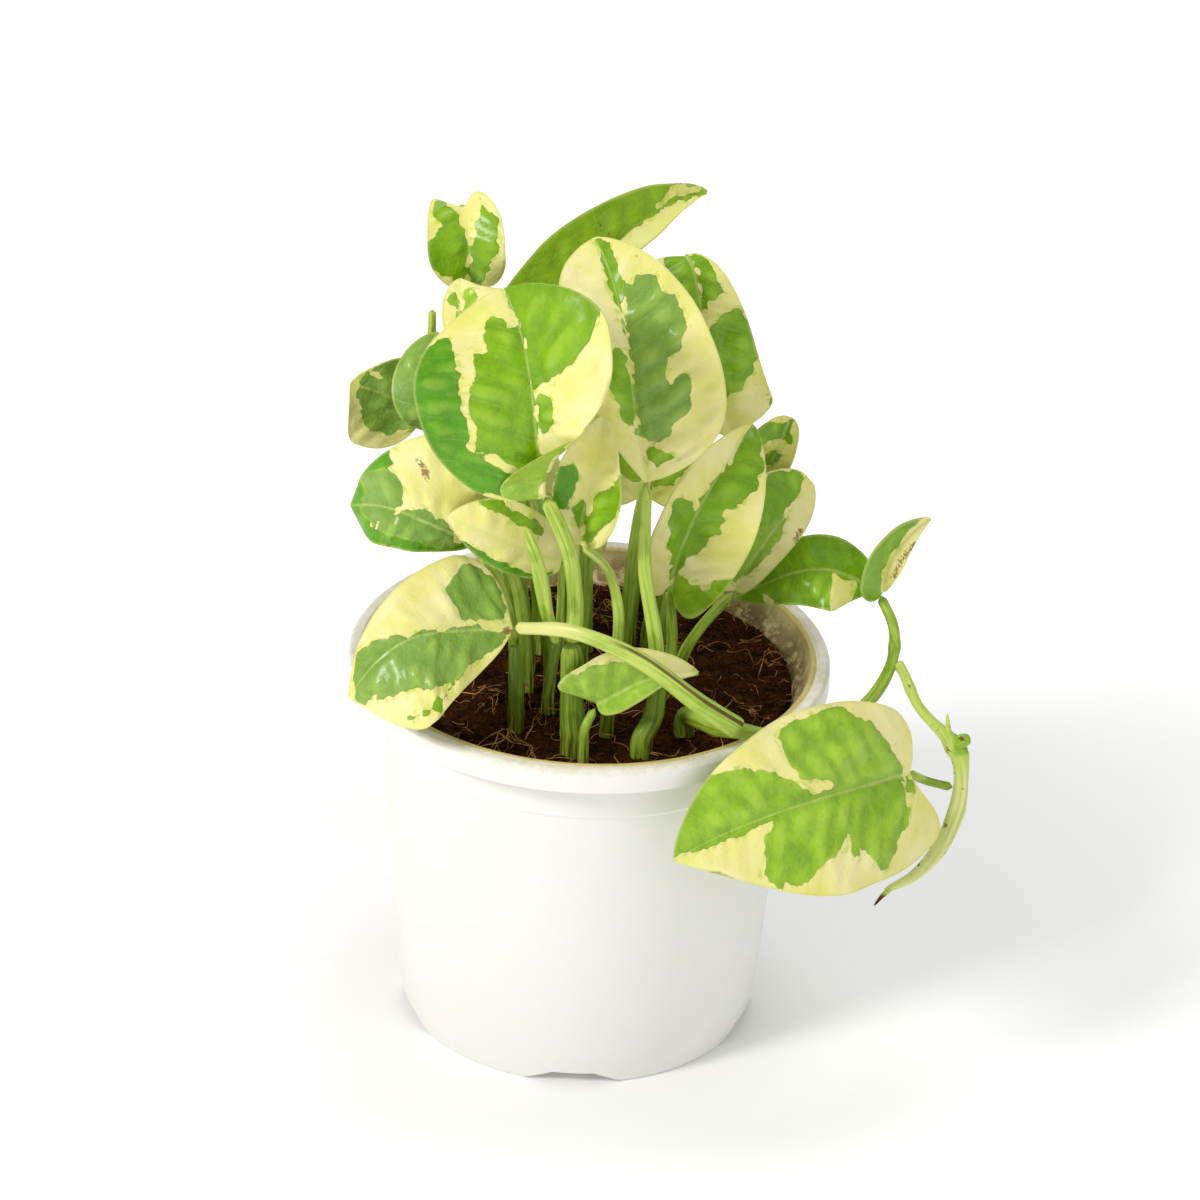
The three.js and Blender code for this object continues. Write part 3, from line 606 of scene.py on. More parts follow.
def stalk_flesh(name, light, deep, brown, seam=0.0):
    """Green flesh streaked along its length and darkened by painted shade low down, towards the soil;
    brown gives how scabbed it is, seam a dry brown line.
    """
    paint = Paint(
        name, Specular_IOR_Level=0.2, Subsurface_Weight=0.12, Subsurface_Scale=0.0015, Coat_Roughness=0.25
    )
    place = paint.millimetres()
    around, along, turn = paint.parts(paint.attribute("along", "Vector"))
    x, y, z = paint.parts(place)
    streak = paint.noise(paint.vector(around * 1.1, along * 0.05, x * 0.02), 1.0, 3.0, 0.6)
    bands = paint.noise(paint.vector(around * 0.25, along * 0.12, y * 0.05), 1.0, 2.0)
    fleck = paint.noise(place, 1.1, 4.0, 0.7)
    # low_down is painted shade: the flesh turns darker towards the soil, where the stems stand in the shade
    # of the leaves.
    low_down = (114.0 - z).above(8, 16)
    streaks_and_shade = streak.above(0.52, 0.12) * 0.5 + bands.above(0.56, 0.12) * 0.35 + low_down * 0.42
    green = paint.mix(streaks_and_shade.clamp(), light, deep)
    pale_run = paint.noise(paint.vector(around * 0.5, along * 0.03, 4.0), 1.0).above(0.62, 0.05)
    towards_blade = (along - 44.0).above(0, 12) * seam
    creamy = paint.mix((pale_run * 0.5 + towards_blade).clamp(), green, rgb(232, 230, 150))
    near_soil = (96.0 - z).above(5, 8)
    scab = fleck.above(0.70 - brown, 0.05) * 0.8 + near_soil * streak.above(0.52, 0.06) * 0.8
    off_seam = abs(turn - 0.78 - (bands - 0.5) * 0.2)
    line = (0.2 - off_seam).above(0, 0.06) * (34.0 - along).above(0, 6) * seam
    dried = paint.mix((scab + line * (0.6 + 0.5 * streak)).clamp(), creamy, rgb(92, 58, 28))
    paint.shade(Base_Color=dried, Roughness=0.36 + 0.2 * bands, Coat_Weight=0.15 + 0.15 * streak)
    paint.shade(Normal=paint.bump(streak + 0.4 * fleck - line * 0.6, 0.3, 0.7))
    return paint.material


def place_stem(made, material, node):
    made.data.materials.append(material)
    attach(made, "root")
    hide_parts(node)


stem_flesh = stalk_flesh("stem_flesh", rgb(158, 184, 62), rgb(92, 126, 8), 0.02)
petiole_flesh = stalk_flesh("petiole_flesh", rgb(190, 212, 96), rgb(120, 156, 26), 0.0)
STEM_JOINTS = ((0.25, 0.08, 1.2), (0.7, 0.07, 1.0))
STEMS = {
    "stem_left": (from_soil(-16, -24, (-16.5, -21, 103)), (1.9, 1.7)),
    "stem_centre": (from_soil(-3, -34, (-3.5, -32, 96), (-4, -30, 108.5)), (2.9, 2.5)),
    "stem_right": (from_soil(12.5, -35, (14.5, -33, 92.5), (15.5, -31, 99.5)), (2.5, 2.1)),
}
for node, (path, radii) in STEMS.items():
    place_stem(sweep(node + "_rod", path, radii, 0.1, STEM_JOINTS, blunt=0.85), stem_flesh, node)
stub_path = from_soil(-17, -1, (-21, 0, 115), (-30, 4, 140), (-37.5, 7, 162), (-38, 7, 172))
place_stem(sweep("cut_stub", stub_path, (1.4, 0.9)), petiole_flesh, "cut_stalk")
young_path = [(-7.3, -30.3, 109.2), (-9.6, -31.5, 117), (-12.3, -31.5, 130), (-15, -30, 138)]
place_stem(sweep("rolled_leaf", young_path, (0.9, 1.3, 1.7, 1.4, 0.6), 0.45), petiole_flesh, "young_leaf")

# ---- vine -----------------------------------------------------------------------------------
# The long vine leaves the soil at the right front, climbs outside the rim and ends in two leaves. Its
# side shoot hangs down, with one swollen node, a spike bud, a green stub and a dried root end.
VINE_UP = from_soil(
    22, -26, (24.5, -31, 92), (29, -37, 93.3), (34.5, -40, 94.4), (39.5, -41.2, 94.2), (48, -36.5, 91),
    (57.5, -27, 90.5), (64.5, -20, 94), (68.2, -14, 99.5), (68.3, -9, 105), (65.2, -2.6, 109.6),
)
VINE_JOINTS = ((0.55, 0.12, 1.4), (0.86, 0.2, 1.2))
SHOOT = [
    (69.3, -14.6, 99.3), (70.9, -15.6, 97), (74.4, -18, 90.4), (77.8, -19.5, 87), (81.6, -20.5, 83.6),
    (84.6, -21, 79.1), (85.5, -22.5, 72.7), (83.8, -25, 64.9), (80.7, -28, 58.6), (75.7, -31, 53.6),
    (69, -34, 51),
]
SHOOT_RADII = (1.3, 1.2, 1.15, 1.2, 1.7, 2.2, 2.1, 2.0, 1.8, 1.4, 0.7)
SHOOT_JOINTS = ((0.36, 0.3, 2.0), (0.1, 0.15, 1.2))


def scabbed_flesh():
    """The shoot's skin: yellow green, paler below its node, scarred with brown and dry at its root tip."""
    paint = Paint("vine_skin", Specular_IOR_Level=0.2, Subsurface_Weight=0.1, Subsurface_Scale=0.0015)
    around, along, _ = paint.parts(paint.attribute("along", "Vector"))
    place = paint.millimetres()
    streak = paint.noise(paint.vector(around * 1.2, along * 0.06, 3.0), 1.0, 3.0, 0.6)
    fleck = paint.noise(place, 0.42, 4.0, 0.65)
    x, _, z = paint.parts(place)
    on_stub = ((z - 80.5).above(0, 1) * (x - 82.8).above(0, 1)).clamp()
    below_node = along.above(30, 6)
    young = paint.mix(below_node * 0.7, rgb(200, 218, 110), rgb(232, 230, 164))
    greener = (streak.above(0.55, 0.2) * 0.45 + on_stub * 0.8).clamp()
    green = paint.mix(greener, young, rgb(140, 178, 52))
    root_tip = (50.4 - z).above(0, 0.8)
    scab = (fleck.above(0.63, 0.04) * 0.85 + root_tip).clamp()
    paint.shade(Base_Color=paint.mix(scab, green, rgb(92, 62, 30)), Roughness=0.4 + 0.25 * fleck)
    paint.shade(Normal=paint.bump(streak + 0.8 * fleck, 0.35, 0.8))
    return paint.material


def join(name, objects):
    """Joins finished pieces into one mesh that keeps their attributes."""
    with bpy.context.temp_override(active_object=objects[0], selected_editable_objects=objects):
        bpy.ops.object.join()
    objects[0].name = name
    return objects[0]


place_stem(sweep("climbing_vine", VINE_UP, (2.3, 1.1), 0.08, VINE_JOINTS), petiole_flesh, "vine_over_rim")
shoot = sweep("shoot", SHOOT, SHOOT_RADII, 0.1, SHOOT_JOINTS, blunt=0.7)
bud = sweep("bud", [(82, -20.7, 83.5), (81.3, -21.2, 87), (80.9, -21.5, 90.5)], (0.9, 0.25))
stub = sweep("stub", [(82.6, -21, 82), (84.8, -21.8, 83.8), (86.3, -22.4, 84.8)], (1.3, 1.7, 1.2))
root = sweep("root", [(70.5, -33.4, 51.6), (68.5, -34.5, 50), (66.6, -35, 47.4)], (0.8, 0.25))
place_stem(join("hanging_shoot", [shoot, bud, stub, root]), scabbed_flesh(), "vine_hanging")

# ---- front leaf -----------------------------------------------------------------------------
# The large leaf in the middle front. Each blade is a thin sheet, grooved over its midrib and rippled
# between its side veins; cream with green where its patches lie. Its right basal lobe is folded back.
BLADE_STEP = 0.85  # length of one step of a blade's grid
BLADE_CREASE = 75
BLADE_HALF = 0.22  # half the blade's thickness
HALF_EDGE = 0.35  # half width of a blade's blunt ends
BLADE_GAP = 0.9  # between the end of a stalk and the midrib's start
FOLD_WIDTH = 0.22  # of the half's reach, in the bend of a folded ear
VEIN_SPACING = 5.4  # between the side veins, along the midrib
FOOT_BIAS = 1.35  # above 1, the rows lie closer together towards the blade's foot
NARROW = 2  # where a half is narrower than this, its face turns level
NO_CREASE = 2.0  # a share past the margin
FAR_OUT, DEEP_INSIDE = -30.0, 6.0  # distances where there is no patch, and where the ground is green
OVAL = (2, 0.9)  # the tip of a plain leaf
DEEP, LEAFY, LIGHT, GREY, PALE = 0.0, 0.35, 0.7, 1.0, 1.4  # tones of green


def facing(around, up):
    """The direction that a face looks in: 0 is the front, 90 the right, and up is above the horizon."""
    around, up = math.radians(around), math.radians(up)
    return np.array([math.sin(around) * math.cos(up), -math.cos(around) * math.cos(up), math.sin(up)])


def midrib(points, u):
    """Places and slopes of the cubic through four points, at u = 0, 1/3, 2/3 and 1."""
    knots = [0, 1 / 3, 2 / 3, 1]
    place, slope = np.zeros((len(u), 3)), np.zeros((len(u), 3))
    for i, point in enumerate(np.array(points, float)):
        a, b, c = [knots[j] for j in range(4) if j != i]
        scale = 1 / ((knots[i] - a) * (knots[i] - b) * (knots[i] - c))
        place += np.outer((u - a) * (u - b) * (u - c) * scale, point)
        slope += np.outer(((u - b) * (u - c) + (u - a) * (u - c) + (u - a) * (u - b)) * scale, point)
    return place, slope


def edge_of(u, half, length):
    """How far out the margin of one half lies, and how far past u."""
    width, widest, fullness, _, _, lobe, (blunt, taper) = half
    turn = np.pi / 2 * np.clip(u / widest, 0, 1) ** 0.6
    notch = lobe * np.maximum(0, 1 - turn / 0.75) ** 2
    along = widest * length - (widest * length + lobe) * np.cos(turn) + notch - u * length
    t = np.clip((u - widest) / (1 - widest), 0, 1)
    out = np.where(u < widest, width * np.sin(turn) ** fullness, width * (1 - t**blunt) ** taper)
    return out, np.where(u < widest, along, 0)


def profile(half, s, crease, fold):
    """How far sideways and up a half has come at s, as shares of its reach, and how steep it is there."""
    lift, curl = half[3:5]
    steps = 32
    across, up = np.zeros(len(crease)), np.zeros(len(crease))
    for k in range(steps):
        t = s * (k + 0.5) / steps
        bend = np.clip((t - crease) / FOLD_WIDTH, 0, 1)
        angle = np.radians(lift + curl * t + fold * bend**2 * (3 - 2 * bend))
        across += np.cos(angle) * s / steps
        up += np.sin(angle) * s / steps
    return across, up, angle


def signed_distance(points, outline):
    """Distance from each flat point to the outline, positive inside it."""
    outline = np.array(outline, float)
    nearest = np.full(len(points), 1e9)
    inside = np.zeros(len(points), bool)
    for a, b in zip(outline, np.roll(outline, -1, axis=0)):
        way = b - a
        t = np.clip(((points - a) @ way) / max(way @ way, 1e-9), 0, 1)
        nearest = np.minimum(nearest, np.linalg.norm(points - a - t[:, None] * way, axis=1))
        if a[1] != b[1]:
            crosses = (a[1] > points[:, 1]) != (b[1] > points[:, 1])
            inside ^= crosses & (points[:, 0] < a[0] + (points[:, 1] - a[1]) * way[0] / way[1])
    return np.where(inside, nearest, -nearest)


def blade_surface(rib, face, left, right, ear, skew):
    """The blade before it is rippled, row by row from its foot to its tip and from left to right.

    Returns u, the points, the way that each faces, its flat place and how far it is from the margin."""
    length = np.linalg.norm(midrib(rib, np.linspace(0, 1, 23))[1], axis=1).mean()
    rows = max(16, round(length / BLADE_STEP))
    across = [max(7, round(half[0] / BLADE_STEP)) for half in (left, right)]
    u = np.linspace(0, 1, rows + 1) ** FOOT_BIAS
    s = np.concatenate([np.linspace(-1, 0, across[0], endpoint=False), np.linspace(0, 1, across[1] + 1)])
    place, slope = midrib(rib, u)
    forward = slope / np.linalg.norm(slope, axis=1)[:, None]
    normal = facing(*face[0]) * (1 - u[:, None]) + facing(*face[1]) * u[:, None]
    normal -= (normal * forward).sum(1)[:, None] * forward
    normal /= np.linalg.norm(normal, axis=1)[:, None]
    side = np.cross(forward, normal)
    shape = (len(u), len(s))
    grid, grain, flat, margin = (np.zeros((*shape, *more)) for more in ((3,), (3,), (2,), ()))
    for j, q in enumerate(s):
        half, share = (right if q >= 0 else left), abs(q)
        out, along = edge_of(u, half, length)
        reach = out + HALF_EDGE
        crease, fold = np.full(len(u), NO_CREASE), 0.0
        if ear and q >= 0:
            width, end, fold = ear
            flap = width * np.sin(np.pi * np.clip(u / end, 0, 1) ** 0.5) ** 0.8
            crease = np.where(flap > 0.05, (reach - 0.4) / (reach + flap), NO_CREASE)
            reach = reach + flap
        outward, up, steep = profile(half, share, crease, fold)
        lean = np.sign(q) * steep * np.minimum(1, out / NARROW)
        grain[:, j] = np.cos(lean)[:, None] * normal - np.sin(lean)[:, None] * side
        past = (along + skew[int(q >= 0)] * u * out / half[0]) * share**1.4
        sideways = (np.sign(q) * outward * reach)[:, None] * side
        grid[:, j] = place + sideways + (up * reach)[:, None] * normal + past[:, None] * forward
        flat[:, j] = np.stack([q * reach, u * length + past], -1)
        margin[:, j] = np.minimum((1 - share) * reach, (1 - u) * length * 1.2 + 0.3)
    return u, grid, grain, flat, margin


def rippled(u, flat, margin, seed, ripple):
    """How far the blade's face rises at each point, with its side veins and the puckers between them."""
    x, y = flat[..., 0], flat[..., 1]
    swell = np.array([[noise.noise(Vector((a / 13, b / 13, seed * 9.7))) for a, b in row] for row in flat])
    wavy = np.array([[noise.noise(Vector((a / 6, b / 6, seed * 5.1 + 3))) for a, b in row] for row in flat])
    veins = (y + 1.6 * swell - 0.62 * np.abs(x) + 0.008 * x**2 + seed * 3) / VEIN_SPACING + 0.5 * (x > 0)
    from_foot = np.clip(u / 0.06, 0, 1)[:, None]
    fade = np.clip(np.abs(x) / 3, 0, 1) * np.clip(margin / 3, 0.1, 1) * from_foot
    loose = np.clip(np.abs(x) / 5, 0, 1) * np.clip(u / 0.08, 0, 1)[:, None]
    puckers = np.abs(np.sin(np.pi * veins)) * fade * np.clip(0.65 + 1.3 * wavy, 0.1, 1.3)
    frill = np.sin(y / 2.6 + seed) * np.clip(1 - margin / 6, 0, 1) ** 2 * loose
    relief = ripple * puckers + (0.8 * swell + 0.35 * wavy) * loose + 0.4 * frill
    return relief, veins, puckers


def sheet_faces(rows, columns):
    """The faces of a closed sheet: the upper grid, the lower grid and the narrow rim between them."""
    count = rows * columns
    faces = grid_faces(rows, columns)
    faces += [tuple(count + k for k in reversed(f)) for f in grid_faces(rows, columns)]
    rim = [*range(columns - 1), *range(columns - 1, count - 1, columns)]
    rim += [*range(count - 1, count - columns, -1), *range(count - columns, 0, -columns)]
    return faces + [(b, a, a + count, b + count) for a, b in zip(rim, rim[1:] + rim[:1])]


def patch_fields(points, patches, ground):
    """Distance into the nearest green patch, and its tone; a patch of tone None is a cream gap."""
    nearest, tone = np.full(len(points), FAR_OUT), np.zeros(len(points))
    if ground is not None:
        nearest, tone = np.full(len(points), DEEP_INSIDE), np.full(len(points), float(ground))
    for shade, outline in patches:
        distance = signed_distance(points, outline)
        if shade is None:
            nearest = np.minimum(nearest, -distance)
        else:
            tone = np.where(distance > nearest, shade, tone)
            nearest = np.maximum(nearest, distance)
    return nearest, tone


def blade(
    name, rib, face, left, right, patches, marks=(), ground=None, seed=0, ripple=0.75, ear=None, skew=(0, 0)
):
    """A leaf blade as a closed thin sheet, with its own flat millimetres stored at each point.

    A half is (width, widest, fullness, lift, curl, lobe, (blunt, taper) of the tip). patches are (tone,
    outline) in flat millimetres: x towards the right half, y along the midrib. ear is (width, end, fold)
    of a flap at the foot of the right half that is turned over at the margin. skew moves the widest part
    of the left and of the right half on towards the tip."""
    u, grid, grain, flat, margin = blade_surface(rib, face, left, right, ear, skew)
    relief, veins, puckers = rippled(u, flat, margin, seed, ripple)
    groove = np.exp(-((flat[..., 0] / 0.9) ** 2)) * np.clip(1.4 - 1.1 * u, 0.2, 1)[:, None]
    upper = grid + (relief + BLADE_HALF - 0.28 * groove)[..., None] * grain
    lower = grid + (relief - BLADE_HALF - 0.42 * groove)[..., None] * grain
    sheet = inside_frame(np.concatenate([upper.reshape(-1, 3), lower.reshape(-1, 3)]))
    made = mesh_object(name, sheet, sheet_faces(*margin.shape), BLADE_CREASE)
    points = flat.reshape(-1, 2)
    nearest, tone = patch_fields(points, patches, ground)
    brown = np.full(len(points), FAR_OUT)
    for outline in marks:
        brown = np.maximum(brown, signed_distance(points, outline))
    seeded = np.column_stack([points, np.full(len(points), seed * 31.0)])
    store(made, "leaf", "FLOAT_VECTOR", np.concatenate([seeded, seeded]))
    layers = {"patch": nearest, "tone": tone, "brown": brown, "margin": margin, "veins": veins}
    for label, values in {**layers, "puckers": puckers}.items():
        store(made, label, "FLOAT", np.tile(values.ravel(), 2))
    store(made, "under", "FLOAT", np.repeat([0, 1], len(points)))
    return made


def layered(paint, colour, layers):
    """The colour with each (share, colour) of the layers mixed over it in turn."""
    for share, over in layers:
        colour = paint.mix(share, colour, over)
    return colour


def green_flesh(paint, tone, puckers, cloud, streaks, speck):
    """The patches' green in its five tones, mottled, with painted shade in the hollows and a painted
    highlight on the crests of the puckers.
    """
    # Random mottling plus painted shade in the hollows between the puckers.
    mottle_and_hollow_shade = (cloud.above(0.5, 0.3) * 0.36 + (0.4 - puckers).above(0, 0.7) * 0.24).clamp()
    return layered(paint, rgb(92, 164, 0), [
        ((tone / LEAFY).clamp(), rgb(138, 186, 0)),
        (((tone - LEAFY) / (LIGHT - LEAFY)).clamp(), rgb(166, 208, 46)),
        (((tone - LIGHT) / (GREY - LIGHT)).clamp(), rgb(146, 180, 82)),
        (((tone - GREY) / (PALE - GREY)).clamp(), rgb(176, 212, 76)),
        (mottle_and_hollow_shade, rgb(74, 128, 0)),
        # Painted highlight on the crests of the puckers.
        (puckers.above(0.75, 0.6) * 0.24, rgb(190, 220, 90)),
        (streaks.above(0.62, 0.12) * 0.3, rgb(152, 190, 50)),
        (speck.above(0.6, 0.1) * 0.2, rgb(186, 212, 104)),
    ])


def cream_flesh(paint, leaf, puckers, wash, streaks, green_flecks):
    """The cream between the patches: washed with yellow and lime, with tan spots and green flecks, and
    darkened by painted shade in the hollows.
    """
    tan_spots = paint.noise(leaf, 0.5, 2.0).above(0.78, 0.02)
    return layered(paint, rgb(244, 234, 172), [
        (wash.above(0.52, 0.3), rgb(236, 228, 132)),
        (streaks.above(0.54, 0.3) * wash.above(0.42, 0.3) * 0.5, rgb(216, 226, 92)),
        # Painted shade in the hollows between the puckers.
        ((0.4 - puckers).above(0, 0.6) * 0.1, rgb(222, 210, 116)),
        (tan_spots * 0.6, rgb(196, 150, 84)),
        (green_flecks, rgb(186, 208, 80)),
    ])


def leaf_skin():
    """Cream flesh with lobed green patches, puckered between its side veins, under a waxy gloss."""
    paint = Paint(
        "leaf_skin", Specular_IOR_Level=0.2, Subsurface_Weight=0.1, Subsurface_Scale=0.001,
        Subsurface_Radius=(1.0, 0.9, 0.25), Coat_Roughness=0.2,
    )
    leaf = paint.attribute("leaf", "Vector")
    x, y, seed = paint.parts(leaf)
    layers = ("patch", "tone", "margin", "under", "brown", "veins", "puckers")
    patch, tone, margin, under, brown, veins, puckers = (paint.attribute(label) for label in layers)
    across, side = abs(x), x.above(0, 0.01)
    along_veins = paint.vector(across * 0.2, veins * 2.0, seed + side * 7)
    ragged = paint.noise(along_veins, 1.0, 2.0, 0.5)
    lobes = paint.noise(leaf, 0.3, 1.0, 0.5)
    fine = paint.noise(leaf, 1.7, 3.0, 0.6)
    speck = paint.noise(leaf, 5.0, 2.0, 0.6)
    wash = paint.noise(leaf, 0.07, 2.0, 0.5)
    cloud = paint.noise(leaf, 0.22, 3.0, 0.6)
    streaks = paint.noise(along_veins, 1.6, 3.0, 0.6)
    broken = paint.noise(along_veins, 0.9, 1.0).above(0.5, 0.3)
    edge = patch + (ragged - 0.5) * 1.8 + (lobes - 0.5) * 3.0 + (fine - 0.5) * 0.25
    green_part = edge.above(0, 0.16)
    halo = (edge + 1.0).above(0, 0.3) * streaks.above(0.56, 0.08) * 0.6
    freckle = paint.noise(along_veins, 3.1, 2.0).above(0.72, 0.03) * (patch + 4).above(0, 4) * 0.4
    green = green_flesh(paint, tone, puckers, cloud, streaks, speck)
    cream = cream_flesh(paint, leaf, puckers, wash, streaks, (halo + freckle).clamp())
    vein_line = (0.07 - veins.wave()).above(0, 0.08) * broken
    on_rib = (0.42 - across * (0.8 + 0.03 * y)).above(0, 0.4)
    scar = brown + (fine - 0.5) * 3
    colour = layered(paint, cream, [
        (green_part, green),
        (vein_line * (0.02 + 0.1 * green_part), rgb(206, 222, 130)),
        (on_rib * (0.2 + 0.3 * broken), rgb(214, 226, 132)),
        (under * 0.25, rgb(158, 178, 60)),
        # Painted rim light: a thin line along the margin, paler than the green and duller than the cream.
        ((0.45 - margin).above(0, 0.4) * 0.4, rgb(206, 210, 120)),
        (scar.above(0, 0.4) * 0.85, rgb(132, 96, 50)),
    ])
    gloss = (0.12 + 0.22 * green_part) * (1 - 0.7 * under)
    paint.shade(Base_Color=colour, Roughness=0.36 + 0.14 * fine + 0.14 * under, Coat_Weight=gloss)
    crinkle = paint.noise(paint.vector(x * 0.35, y * 0.35, seed), 1.0, 3.0, 0.55)
    swelling = (crinkle * 1.4 + cloud * 0.8) * (0.4 + 0.6 * green_part)
    grain = fine * 0.12 + speck * 0.05 + green_part * 0.05
    paint.shade(Normal=paint.bump(swelling + grain, 0.6, 0.8))
    return paint.material


skin = leaf_skin()


def plant_leaf(
    name, rib, face, left, right, patches=(), stalk=None, girth=None, drop=0.4, flesh=None, **more
):
    """Sets one leaf in place: its blade, and the stalk that carries it, whose end lies drop under it."""
    made = blade(name + "_leaf", rib, face, left, right, patches, **more)
    made.data.materials.append(skin)
    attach(made, "root")
    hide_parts(name + "_blade")
    if stalk:
        end = np.array(rib[0], float)
        back = np.array(stalk[-1]) - end
        end += back / np.linalg.norm(back) * BLADE_GAP - facing(*face[0]) * drop
        rod = sweep(name + "_petiole", [*stalk, tuple(end)], girth, 0.3)
        place_stem(rod, flesh or petiole_flesh, name + "_stalk")


plant_leaf(
    "front",
    rib=[(-11, -31, 146), (-13.5, -33, 163.5), (-16, -31, 179.5), (-21.5, -22, 191.5)],
    face=[(-8, 5), (-5, 28)],
    left=(25, 0.5, 0.85, 5, 10, 0, (2, 0.7)),
    right=(22.5, 0.78, 4.4, 33, -8, 0, (1.8, 0.85)),
    skew=(5, -6),
    ear=(11, 0.42, 150),
    stalk=[(-4, -30, 109.5), (-3.5, -29, 117), (-5.5, -30, 132.5)],
    girth=(2, 1.6),
    seed=1,
    patches=[
        (DEEP, [(-14.6, 44), (-15, 41.4), (-15.2, 32.6), (-15, 29.7), (-15.8, 24.7), (-15.3, 22.7),
                (-14, 18.6), (-13.9, 15.7), (-15.1, 14.1), (-10.5, 10.5), (-6, 7.4), (-6.5, 5.1),
                (-8.2, 4.7), (-7.2, 2.9), (-15.7, 3), (-22, 5), (-26, 11), (-28, 17.3), (-28, 27.9),
                (-25, 37), (-18, 43)]),
        (LEAFY, [(-5.5, 45), (-2.9, 43.8), (-2.6, 41.4), (0.8, 42.2), (0.4, 36.8), (0.2, 29.7), (0.4, 24),
                 (0.6, 17), (0.4, 10.9), (-2.5, 5.7), (-6.2, 9.4), (-9.2, 12.6), (-14.2, 13), (-13.2, 15.7),
                 (-13.4, 18), (-14.1, 23), (-13.2, 28.9), (-11.6, 29.3), (-11.3, 33.4), (-11.8, 35.6),
                 (-11.1, 38.3), (-6.9, 35.2), (-8.3, 38.3), (-8.3, 42.2)]),
        (LEAFY, [(0.6, 52), (9.2, 48), (22, 43), (23, 38.7), (18.9, 35.6), (15.4, 33.6), (9.2, 30.7),
                 (4.1, 27.8), (0, 26.1), (0.4, 36.8), (0.8, 42.2), (-0.3, 46.6)]),
        (GREY, [(9, 52), (9, 45.5), (20, 40), (24, 38), (24, 46)]),
        (LEAFY, [(2.8, 27.8), (5.4, 24.9), (6.2, 21.7), (3.9, 17.7), (2.1, 16.2), (1.1, 20.6)]),
        (PALE, [(2.5, -2), (3, 7), (8, 12), (13, 17), (24, 22), (30, 12), (22, -4), (6, -12)]),
    ],
)

# ---- leaf to its right ------------------------------------------------------------------------
# The tall leaf behind the front one; its tip bends away over the back. A broad green field lies to the
# right of its midrib, with a bay of cream in it.
plant_leaf(
    "centre_right",
    rib=[(11, -20, 145), (7.5, -19, 164.5), (4, -12, 181.5), (-2.5, 2, 193.5)],
    face=[(5, 10), (0, 50)],
    left=(13, 0.7, 2.2, 10, 5, 0, (2.5, 0.7)),
    right=(20, 0.34, 0.8, 8, 5, -2, (1.9, 0.8)),
    stalk=[(15.5, -31, 100.5), (14.5, -28, 110), (11.5, -24, 125.5)],
    girth=(1.9, 1.3),
    seed=2,
    patches=[
        (GREY, [(2.3, 45.7), (4.3, 44), (5.4, 46.7), (7.2, 46.7), (9.4, 44.9), (9.7, 42.2), (12.3, 40),
                (14.1, 35.2), (13.5, 32.7), (11.5, 29.4), (9.1, 28.2), (8.9, 26.6), (7.4, 23.9),
                (8.8, 23.1), (10.7, 24.6), (12.8, 23.5), (12.5, 17.3), (9.4, 13.5), (4.4, 9.5), (2.4, 10.1),
                (0.3, 11.3), (0.3, 19.7), (0.3, 26.6), (0.9, 33.1), (1, 40.4)]),
        (LEAFY, [(-0.2, 58.3), (1.8, 57.3), (1.7, 50.8), (1.4, 46.2), (0.2, 33.6), (-0.7, 43.1),
                 (-1.2, 49.4)]),
        (LEAFY, [(-2.1, 33.2), (-0.2, 29.8), (0, 24.2), (0, 15), (0.3, 10.3), (-3.2, 16.2), (-4.2, 20.3),
                 (-5.9, 25.8)]),
        (LEAFY, [(1.8, 9.4), (8, 5.7), (2.4, 2.8)]),
    ],
)

# ---- top leaves -------------------------------------------------------------------------------
# The topmost leaf arches to the right and shows its green underside; a small leaf hangs at the top
# left with a pale one below it, and another hangs behind the tall leaf.
plant_leaf(
    "top_arch",
    rib=[(-13.5, 6, 171), (-1, 13, 184.3), (11.5, 18, 194), (22, 20, 197.5)],
    face=[(180, 15), (190, 30)],
    left=(7, 0.3, 1, -80, 0, 0, (1.6, 1)),
    right=(11.3, 0.2, 0.55, 5, 20, 15, (1.5, 1)),
    stalk=from_soil(-2, 3, (-2, 5, 120), (-8, 9, 155)),
    girth=(1.8, 1.3),
    seed=3,
    ground=LEAFY,
    patches=[
        (None, [(-0.8, 3), (-0.8, 50), (-12, 50), (-12, 3)]),
        (None, [(0.5, 30), (4, 38), (0.5, 50)]),
        (DEEP, [(8.4, 25.2), (7.4, 29.5), (6.2, 36), (5, 34), (6.6, 24.2)]),
        (DEEP, [(-5, 19.2), (-4.8, 21.7), (-6.9, 22), (-8, 19)]),
    ],
    marks=[[(5.2, 19), (5.8, 19.4), (5.4, 20.2)], [(2.4, 19), (3, 19.5), (2.6, 20)]],
)
plant_leaf(
    "top_left",
    rib=[(-32, 18, 192.5), (-30.5, 13, 188), (-30, 12, 182), (-28, 16, 173.5)],
    face=[(-5, 25), (-5, 0)],
    left=(8, 0.5, 0.8, 10, 0, 4, (3, 0.6)),
    right=(9, 0.45, 0.6, 15, 0, 6, (2.4, 0.7)),
    stalk=from_soil(-14, 2, (-18, 3, 115), (-26, 10, 145), (-33, 22, 178), (-33, 22, 188)),
    girth=(1.7, 1.1),
    seed=4,
    patches=[
        (LEAFY, [(5.5, -3.4), (3.9, -2.5), (2.2, 1), (1.2, 6.4), (0.5, 12.2), (1.5, 19), (3.6, 19.9),
                 (6.1, 17.6), (8.6, 15.5), (10, 10.4), (6.8, 7.9), (6.6, 4), (7.4, 0.8)]),
        (LEAFY, [(-4.4, -0.3), (-6, 3.4), (-7.2, 8.5), (-7, 11.3), (-5.3, 15.2), (-2.8, 19.4), (-0.2, 22.4),
                 (1.6, 21), (0, 15.7), (-1, 9.4), (-1.1, 6.1), (-3.2, 3.4)]),
    ],
)
